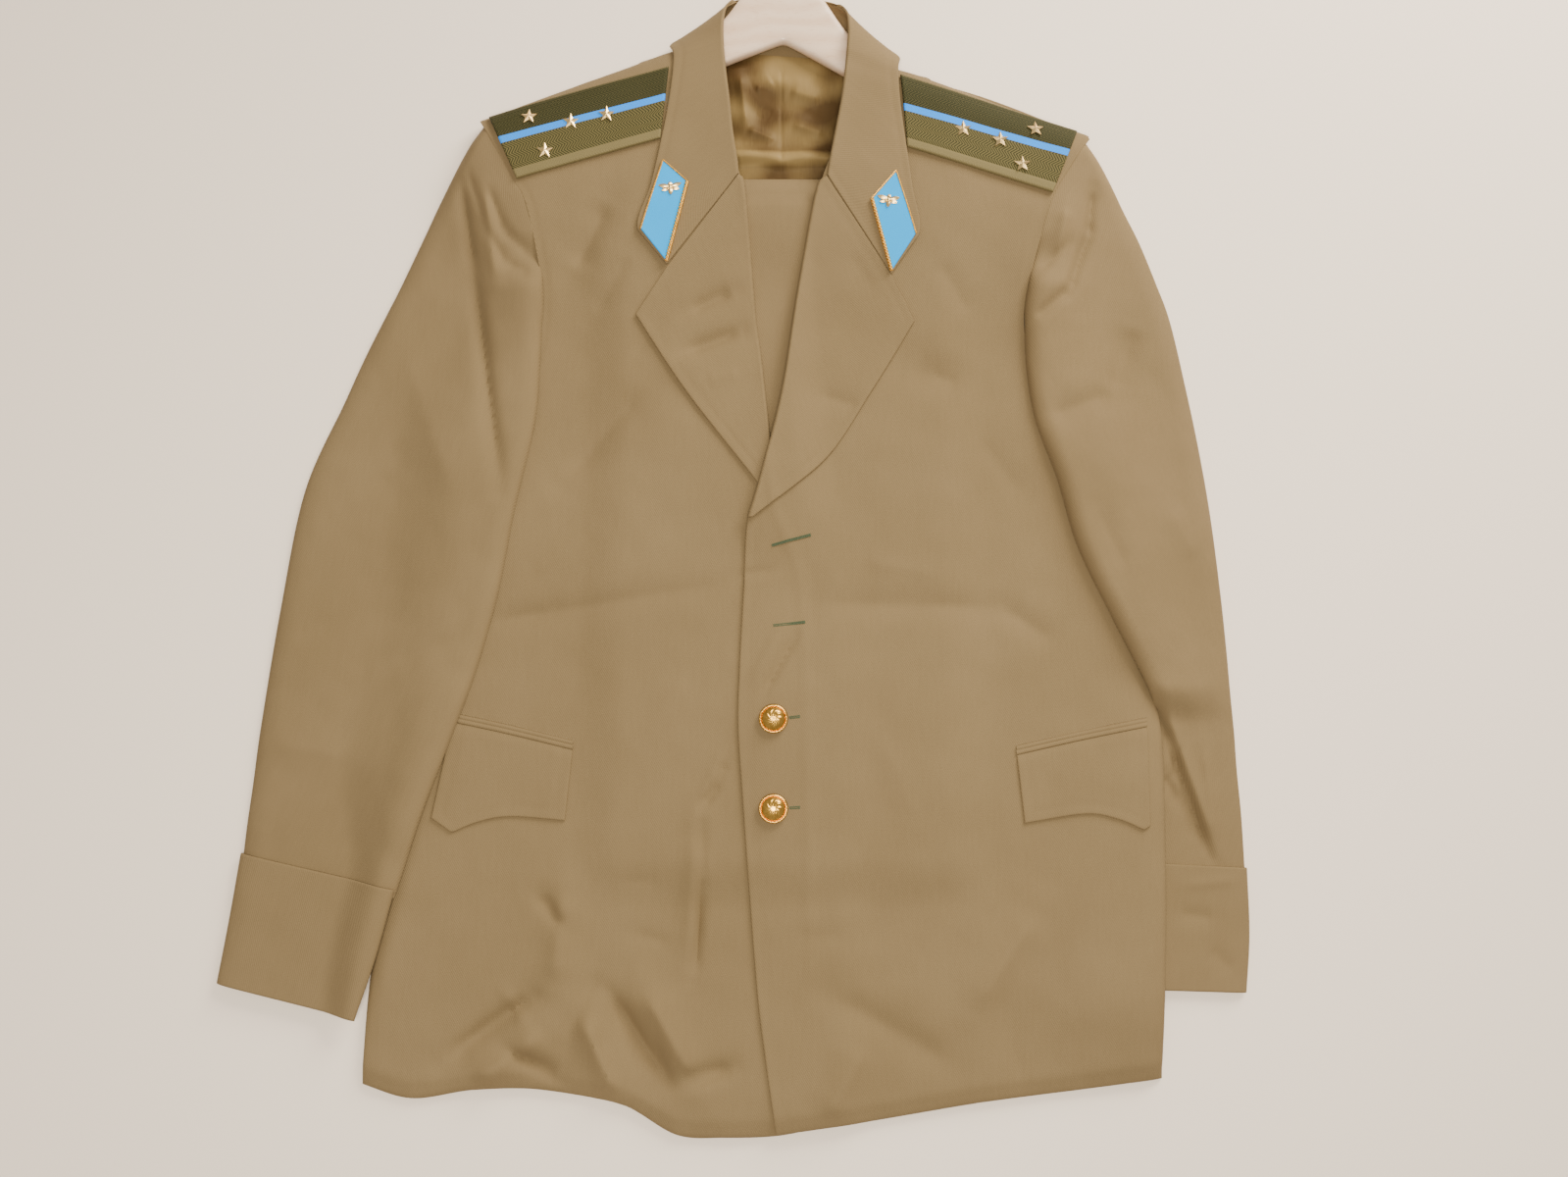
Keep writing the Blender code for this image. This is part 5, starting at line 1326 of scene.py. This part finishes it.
# Place of the stripe's middle across the board, lower edge to upper, at its first end and its last
STRIPE_PLACE = {"right": (0.57, 0.57), "left": (0.53, 0.59)}
BRAID_DARK = (0.024, 0.024, 0.006, 1.0)
BRAID_OLIVE = (0.165, 0.128, 0.042, 1.0)
BORDER_KHAKI = (0.225, 0.170, 0.068, 1.0)
STRIPE_BLUE = (0.015, 0.31, 0.95, 1.0)
RIB = 2.2
# Width of one run of the zigzag
CHEVRON = 4.0
UPPER_BORDER = 2.0
# Painted shade: the upper half of the braid is painted darker, as its ribs look when seen against the light
UPPER_PAINTED_SHADE = 0.5


def board_height(side, x, y):
    """Outer face of a shoulder board."""
    return front_height(side, x, y) + 0.9 + BOARD_THICK


def braid_finish():
    """Woven braid: olive herringbone ribs with loose dark threads between them, painted shade over the upper
    half, stripe and border.
    """
    braid = Finish("herringbone_braid", Specular_IOR_Level=0.2)
    place = braid.node("ShaderNodeUVMap", {"uv_map": "grain"})
    along, off_middle, _ = braid.across(place)
    rib = RIB * MM
    zigzag = off_middle.fold_back(CHEVRON * MM)
    ribs = ((along + zigzag) * (2 * math.pi / rib)).wave() * 0.5 + 0.5
    threads = braid.noise(place, 1400.0, 2.0)
    # Painted shade on the field above the stripe
    upper = (off_middle > 0.0) * UPPER_PAINTED_SHADE
    share = (ribs * 0.85 + threads * 0.7 - 0.35 - upper).at_most_one()
    field = braid.between(share, BRAID_DARK, BRAID_OLIVE)
    low_edge = (off_middle * -1.0) > (BOARD_WIDTH / 2 - BORDER_WIDTH) * MM
    edge = (low_edge + (off_middle > (BOARD_WIDTH / 2 - UPPER_BORDER) * MM) * 0.35).at_most_one()
    stripe = (STRIPE_WIDTH / 2 * MM) - abs(off_middle) > 0.0
    border = braid.between(threads, (0.12, 0.095, 0.038, 1.0), BORDER_KHAKI)
    blue = braid.between(threads, (0.008, 0.22, 0.75, 1.0), STRIPE_BLUE)
    colour = braid.between(edge, field, border)
    braid.colour(braid.between(stripe, colour, blue))
    braid.roughness(0.86 - threads * 0.2)
    braid.relief(ribs * 0.10 + threads * 0.14)
    return braid


herringbone = braid_finish()
boards = {}
for side in ("right", "left"):
    corners = BOARD_CORNERS[side]
    u = stepped(BOARD_LENGTH, 0.8, (0.3, 0.6), (0.3, 0.6))[None, :, None]
    v = stepped(BOARD_WIDTH, 0.8, (0.3, 0.6), (0.3, 0.6))[:, None, None]
    plan = between_corners(corners, u, v)
    x, y = plan[..., 0], plan[..., 1]
    first, last = STRIPE_PLACE[side]
    centre = (first * (1 - u) + last * u)[..., 0]
    up = v[..., 0]
    off_middle = np.where(up < centre, up / centre - 1.0, (up - centre) / (1.0 - centre)) * BOARD_WIDTH / 2
    run = np.repeat(u[..., 0] * BOARD_LENGTH, len(v), axis=0)
    zigzag = np.abs((off_middle + CHEVRON) % (2 * CHEVRON) - CHEVRON)
    ribs = 0.5 + 0.5 * np.sin((run + zigzag) * 2 * math.pi / RIB)
    in_field = (np.abs(off_middle) > STRIPE_WIDTH / 2) & (np.abs(off_middle) < BOARD_WIDTH / 2 - BORDER_WIDTH)
    relief = np.where(in_field, 0.26 * ribs, 0.12)
    groove = np.exp(-(((np.abs(off_middle) - (BOARD_WIDTH / 2 - BORDER_WIDTH)) / 0.6) ** 2))
    nearest = np.minimum.reduce(edge_distances(plan))
    top = board_height(side, x, y) + relief - 0.35 * groove - 1.2 * (1.0 - dome(nearest / 1.6))
    face = np.dstack([plan, top])
    under = np.dstack([plan, board_height(side, x, y) - BOARD_THICK])
    grain = np.dstack([run, off_middle])
    boards[side] = wall(f"board_{side}_braid", face, under, herringbone, grain)
    finish_piece(boards[side], "olive_braid", f"shoulder_board_{side}")

# The stars are stamped from sheet brass, gilded, and pinned through the braid. They keep the shape of
# their solids.
GILT_LIGHT = (1.0, 0.76, 0.36, 1.0)
GILT_DARK = (0.80, 0.50, 0.18, 1.0)


def gilt_finish(name, low=0.2, high=0.42, light=GILT_LIGHT, dark=GILT_DARK):
    """Gilded metal with random patches of wear, lighter in colour and rougher than the rest."""
    gilt = Finish(name, Metallic=1.0)
    place = gilt.node("ShaderNodeTexCoord", {}, {}, 3)
    wear = gilt.noise(place, 420.0, 3.0)
    gilt.colour(gilt.between(wear, dark, light))
    gilt.roughness(low + wear * (high - low))
    gilt.relief(gilt.noise(place, 1800.0, 2.0) * 0.03)
    return gilt


gilt = gilt_finish("gilded_brass")
for side in ("right", "left"):
    for number in range(1, 5):
        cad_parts[f"star_{side}_{number}"].material_slots[0].material = gilt.material

# The collar tabs are sky-blue felted cloth over card, bound on three sides with twisted gilt cord,
# which is thicker along the front edge, and sewn to the ends of the collar.
TAB_CLOTH = 1.1
TAB_CORNERS = {
    "right": np.array([(-92, 255), (-76, 318), (-95, 335), (-112, 280)], float),
    "left": np.array([(84, 247), (69, 304), (88, 326), (103, 276)], float),
}
CORD_RADIUS = 1.65
THIN_CORD_RADIUS = 0.85
CORD_SIDES = 6
# Radii of cord between the points along it, and in one turn of its plies
CORD_STEP = 0.6
CORD_TURN = 4.6
TAB_BLUE = (0.0, 0.42, 0.90, 1.0)
TAB_BLUE_DEEP = (0.0, 0.33, 0.74, 1.0)


def felt_finish():
    """Felted wool with a soft nap and no weave."""
    felt = Finish("sky_blue_felt", Roughness=0.9, Specular_IOR_Level=0.0)
    place = felt.node("ShaderNodeUVMap", {"uv_map": "grain"})
    nap = felt.noise(place, 1300.0, 4.0)
    cloud = felt.noise(place, 60.0, 2.0)
    felt.colour(felt.between((nap * 0.9 + cloud * 0.4 - 0.15).at_most_one(), TAB_BLUE_DEEP, TAB_BLUE))
    felt.relief(nap * 0.16)
    return felt


def twisted_cord(name, path, radius, finish, plies=3):
    """A cord of twisted plies along a path, each ply a thread that winds round the middle."""
    path = smooth_line(path, np.linspace(0, 1, int(length_run(path)[-1] / (CORD_STEP * radius))))
    side, up = around(path)
    points, faces = [], []
    ring = np.linspace(0, 2 * math.pi, CORD_SIDES, endpoint=False)
    loops = side[:, None] * np.cos(ring)[None, :, None] + up[:, None] * np.sin(ring)[None, :, None]
    for ply in range(plies):
        turn = length_run(path) / (radius * CORD_TURN) * 2 * math.pi + ply * 2 * math.pi / plies
        centre = path + (side * np.cos(turn)[:, None] + up * np.sin(turn)[:, None]) * radius * 0.52
        start = ply * len(path) * CORD_SIDES
        points.append((centre[:, None] + loops * radius * 0.5).reshape(-1, 3))
        faces.extend(quads(len(path), CORD_SIDES, ring=True) + start)
        faces.extend([start + corner for corner in cap] for cap in end_caps(len(path), CORD_SIDES))
    return make_piece(name, np.vstack(points), faces, finish)


# Corners that each binding joins, and its radius
BINDINGS = {"front": (0, 1, CORD_RADIUS), "top": (1, 2, THIN_CORD_RADIUS), "back": (2, 3, THIN_CORD_RADIUS)}
felt = felt_finish()
gilt_thread = gilt_finish("gilt_thread", 0.34, 0.52, (0.95, 0.60, 0.16, 1.0), (0.66, 0.33, 0.05, 1.0))
for side in ("right", "left"):
    corners = TAB_CORNERS[side]
    u = stepped(65.0, 1.2, (0.3, 0.7), (0.3, 0.7))[None, :, None]
    v = stepped(28.0, 1.2, (0.3, 0.7), (0.3, 0.7))[:, None, None]
    plan = between_corners(corners, u, v)
    from_start, _, from_low, _ = edge_distances(plan)
    level = collar_height(side, plan[..., 0], plan[..., 1]) + LAID_GAP
    nearest = np.minimum.reduce(edge_distances(plan))
    face = np.dstack([plan, level + TAB_CLOTH - 0.6 * (1.0 - dome(nearest / 0.8))])
    grain = np.dstack([from_start, from_low])
    tab = wall(f"tab_{side}_felt", face, np.dstack([plan, level]), felt, grain)
    finish_piece(tab, "blue_cloth", f"collar_tab_{side}")
    for place, (first, last, radius) in BINDINGS.items():
        line = corners[first] + (corners[last] - corners[first]) * np.linspace(0.0, 1.0, 14)[:, None]
        line = line + unit(line - corners.mean(axis=0)) * 0.2
        height = collar_height(side, line[:, 0], line[:, 1]) + LAID_GAP + TAB_CLOTH * 0.55 + radius * 0.35
        cord = twisted_cord(f"tab_{side}_cord_{place}", np.column_stack([line, height]), radius, gilt_thread)
        finish_piece(cord, "gilt_metal")

# A small plain sprig of gilded brass is pinned near the upper end of each tab: two pairs of leaves
# and one at each end, round a bud.
LEAF_TURNS = [(14.0, 9.4), (-20.0, 7.4), (166.0, 9.4), (200.0, 7.4), (90.0, 4.2), (270.0, 6.5)]
LEAF_WIDTH = 1.75


def leaf(length, width, lift):
    """Points and faces of one pointed leaf with a raised midrib, from its stalk outwards."""
    t = np.linspace(0.0, 1.0, 12)
    half = width * np.sin(math.pi * np.clip(t, 0.02, 0.99)) ** 0.8
    across = np.linspace(-1.0, 1.0, 9)
    x = np.repeat((t * length)[:, None], 9, axis=1)
    y = half[:, None] * across[None, :]
    ridge = lift * (1.0 - np.abs(across))[None, :] * np.sin(math.pi * np.clip(t, 0.05, 0.95))[:, None]
    face = np.dstack([x, y, 0.45 + ridge])
    under = np.dstack([x, y, np.zeros_like(x)])
    return face, under


for side in ("right", "left"):
    corners = TAB_CORNERS[side]
    x, y = corners[1:3].mean(axis=0) * 0.55 + corners.mean(axis=0) * 0.45
    level = float(collar_height(side, x, y)) + LAID_GAP + TAB_CLOTH + 0.05
    points, faces = [], []
    for angle, length in LEAF_TURNS:
        for grid, flip in zip(leaf(length, LEAF_WIDTH, 0.9), (False, True)):
            turn = math.radians(angle + (6.0 if side == "right" else -6.0))
            turned = np.dstack([
                x + grid[..., 0] * math.cos(turn) - grid[..., 1] * math.sin(turn),
                y + grid[..., 0] * math.sin(turn) + grid[..., 1] * math.cos(turn),
                level + grid[..., 2],
            ])
            start = sum(len(group) for group in points)
            points.append(turned.reshape(-1, 3))
            found = quads(12, 9) + start
            faces.extend(found[:, ::-1] if flip else found)
    turns = np.linspace(0, 2 * math.pi, 16, endpoint=False)
    for radius, height in ((1.5, 0.0), (1.5, 0.7), (1.2, 1.3), (0.7, 1.7), (0.15, 1.85)):
        start = sum(len(group) for group in points)
        spots = np.column_stack([
            x + radius * np.cos(turns), y + 1.5 * radius * np.sin(turns) - 0.8, np.full(16, level + height),
        ])
        points.append(spots)
        if height > 0.0:
            below = np.arange(16) + start - 16
            above = np.arange(16) + start
            faces.extend(zip(below, np.roll(below, -1), np.roll(above, -1), above))
    faces.append(list(range(start, start + 16)))
    sprig = make_piece(f"tab_{side}_sprig", np.vstack(points), faces, gilt, crisp=35.0)
    finish_piece(sprig, "gilt_metal", f"tab_emblem_{side}")

# The buttons are gilded brass shells with a domed face, a roped border and a shank that is sewn to
# the left front. Two are done up; the upper two holes are open.
BUTTON_PLACES = [(-8, -102), (-8, -169)]
BUTTON_SIDES = 96
BUTTON_RINGS = 70
# Radius and height of the button's face, from its underside to the middle
BUTTON_PROFILE = np.array([
    (3.6, 0.0), (3.8, 1.5), (9.4, 1.7), (10.7, 2.3), (11.0, 3.0), (10.9, 3.6),
    (10.5, 4.1), (9.9, 4.35), (9.5, 4.1), (9.3, 3.7), (9.0, 4.3), (8.3, 5.3),
    (7.2, 6.3), (5.7, 7.1), (4.2, 7.6), (2.6, 7.9), (1.2, 8.0),
])
polished = gilt_finish("polished_gilt", 0.22, 0.34, (0.86, 0.52, 0.12, 1.0), (0.42, 0.19, 0.02, 1.0))
for number, (x, y) in enumerate(BUTTON_PLACES, 1):
    base = float(left_front_height(np.array([x]), np.array([y]))[0]) + 0.4
    turns = np.linspace(0, 2 * math.pi, BUTTON_SIDES, endpoint=False)
    profile = smooth_line(BUTTON_PROFILE, np.linspace(0, 1, BUTTON_RINGS))
    radius, height = (np.repeat(column[:, None], BUTTON_SIDES, axis=1) for column in profile.T)
    rope = np.exp(-(((radius - 10.2) / 0.7) ** 2)) * (height > 3.0)
    height = height + 0.06 * rope * np.sin(turns * 30 + radius * 1.4)
    petals = np.exp(-(((radius - 4.6) / 2.3) ** 4)) * np.cos(turns * 5 + radius * 0.5) ** 2
    height = height + 0.55 * petals
    face = np.dstack([x + radius * np.cos(turns), y + radius * np.sin(turns), base + height])
    faces = [*quads(BUTTON_RINGS, BUTTON_SIDES, ring=True), *end_caps(BUTTON_RINGS, BUTTON_SIDES)]
    button = make_piece(f"button_{number}_shell", face, faces, polished, crisp=60.0)
    finish_piece(button, "gilt_metal", f"button_{number}")

# Buttonholes are cut through the left front and worked round with dark green twist. The seams of the
# pockets show their rows of khaki stitches. One tree of nodes lays every row of thread.
HOLES = [((-9.0, 30.5), (19.5, 38.5)), ((-8.0, -31.0), (15.0, -28.5))]
HOLE_ENDS = [((4.2, -101.0), (11.0, -100.2)), ((4.2, -168.4), (11.0, -168.0))]
TWIST_GREEN = (0.040, 0.056, 0.022, 1.0)
THREAD_KHAKI = (0.175, 0.125, 0.060, 1.0)


def thread_finish(name, colour):
    """Sewing thread with a slight gloss."""
    thread = Finish(name)
    place = thread.node("ShaderNodeTexCoord", {}, {}, 3)
    fuzz = thread.noise(place, 2600.0, 2.0)
    pale = tuple(min(1.0, part * 1.9) for part in colour[:3]) + (1.0,)
    thread.colour(thread.between(fuzz, colour, pale))
    thread.roughness(0.5 + fuzz * 0.2)
    return thread


def stitch_tree():
    """Geometry nodes that lay one small thread at even spaces along every line of a mesh."""
    tree = bpy.data.node_groups.new("stitches", "GeometryNodeTree")
    inputs = {"Lines": "Geometry", "Spacing": "Float", "Thread": "Vector", "Finish": "Material"}
    for name, kind in inputs.items():
        tree.interface.new_socket(name, in_out="INPUT", socket_type="NodeSocket" + kind)
    tree.interface.new_socket("Stitches", in_out="OUTPUT", socket_type="NodeSocketGeometry")
    nodes = {}
    for name, kind in (
        ("given", "NodeGroupInput"),
        ("line", "GeometryNodeMeshToCurve"),
        ("spots", "GeometryNodeCurveToPoints"),
        ("turn", "FunctionNodeAlignRotationToVector"),
        ("bead", "GeometryNodeMeshIcoSphere"),
        ("lay", "GeometryNodeInstanceOnPoints"),
        ("real", "GeometryNodeRealizeInstances"),
        ("smooth", "GeometryNodeSetShadeSmooth"),
        ("paint", "GeometryNodeSetMaterial"),
        ("made", "NodeGroupOutput"),
    ):
        nodes[name] = tree.nodes.new(kind)
    nodes["spots"].mode = "LENGTH"
    nodes["turn"].axis = "X"
    nodes["bead"].inputs["Radius"].default_value = 1.0
    nodes["bead"].inputs["Subdivisions"].default_value = 2
    for source, output, target, socket in (
        ("given", "Lines", "line", "Mesh"), ("line", "Curve", "spots", "Curve"),
        ("given", "Spacing", "spots", "Length"), ("spots", "Tangent", "turn", "Vector"),
        ("spots", "Points", "lay", "Points"), ("bead", "Mesh", "lay", "Instance"),
        ("turn", "Rotation", "lay", "Rotation"), ("given", "Thread", "lay", "Scale"),
        ("lay", "Instances", "real", "Geometry"), ("real", "Geometry", "smooth", "Geometry"),
        ("smooth", "Geometry", "paint", "Geometry"), ("given", "Finish", "paint", "Material"),
        ("paint", "Geometry", "made", "Stitches"),
    ):
        tree.links.new(nodes[source].outputs[output], nodes[target].inputs[socket])
    return tree


def sew(name, lines, spacing, thread, finish):
    """Rows of stitches along lines in millimetres; thread is half its length, width and height."""
    points, edges = [], []
    for line in lines:
        start = len(points)
        points.extend(((np.asarray(line) - TABLE_ZERO) * MM).tolist())
        edges.extend((start + k, start + k + 1) for k in range(len(line) - 1))
    mesh = bpy.data.meshes.new(name + "_lines")
    mesh.from_pydata(points, edges, [])
    guide = bpy.data.objects.new(name + "_lines", mesh)
    bpy.context.scene.collection.objects.link(guide)
    layer = guide.modifiers.new("stitches", "NODES")
    layer.node_group = STITCHES
    values = {"Spacing": spacing * MM, "Thread": [part * MM for part in thread], "Finish": finish.material}
    for item in STITCHES.interface.items_tree:
        if item.in_out == "INPUT" and item.name in values:
            layer[item.identifier] = values[item.name]
    evaluated = guide.evaluated_get(bpy.context.evaluated_depsgraph_get())
    sewn = bpy.data.objects.new(name, bpy.data.meshes.new_from_object(evaluated))
    bpy.data.objects.remove(guide, do_unlink=True)
    bpy.context.scene.collection.objects.link(sewn)
    finish_piece(sewn, "khaki_cloth")


def on_surface(height, points, step=1.5, lift=0.1):
    """A line on a surface: its plan points with the surface's height at each."""
    points = np.asarray(points, float)
    length = np.linalg.norm(np.diff(points, axis=0), axis=1).sum()
    line = corner_line(points, np.linspace(0, 1, max(3, int(length / step))))
    return np.column_stack([line, height(line[:, 0], line[:, 1]) + lift])


STITCHES = stitch_tree()
twist = thread_finish("green_twist", TWIST_GREEN)
khaki_thread = thread_finish("khaki_thread", THREAD_KHAKI)
rows_of_twist = []
for first, last in HOLES + HOLE_ENDS:
    first, last = np.array(first), np.array(last)
    along = (last - first) / np.linalg.norm(last - first)
    off = np.array((-along[1], along[0]))
    for shift in (-0.62, 0.62):
        lip = [first + off * shift, last + off * shift]
        rows_of_twist.append(on_surface(left_front_height, lip, 1.0, 0.15))
    bar = [last - off * 0.9 + along * 0.6, last + off * 0.9 + along * 0.6]
    rows_of_twist.append(on_surface(left_front_height, bar, 0.5, 0.15))
sew("buttonhole_twist", rows_of_twist, 0.6, (0.32, 0.62, 0.36), twist)

slits = [on_surface(left_front_height, hole, 1.0, 0.05) for hole in HOLES]
sew("buttonhole_slits", slits, 0.5, (0.5, 0.22, 0.2), twist)

seam_rows = []
for side in ("right", "left"):
    top_line = smooth_line(FLAP_TOP[side], np.linspace(0, 1, 30))
    for up, lift in ((WELT_WIDTH + 0.9, 0.05), (WELT_WIDTH / 2, 1.1)):
        line = top_line + (0.0, up)
        seam_rows.append(on_surface(lambda px, py, side=side: front_height(side, px, py), line, 1.5, lift))
sew("pocket_stitches", seam_rows, 2.6, (0.95, 0.16, 0.14), khaki_thread)
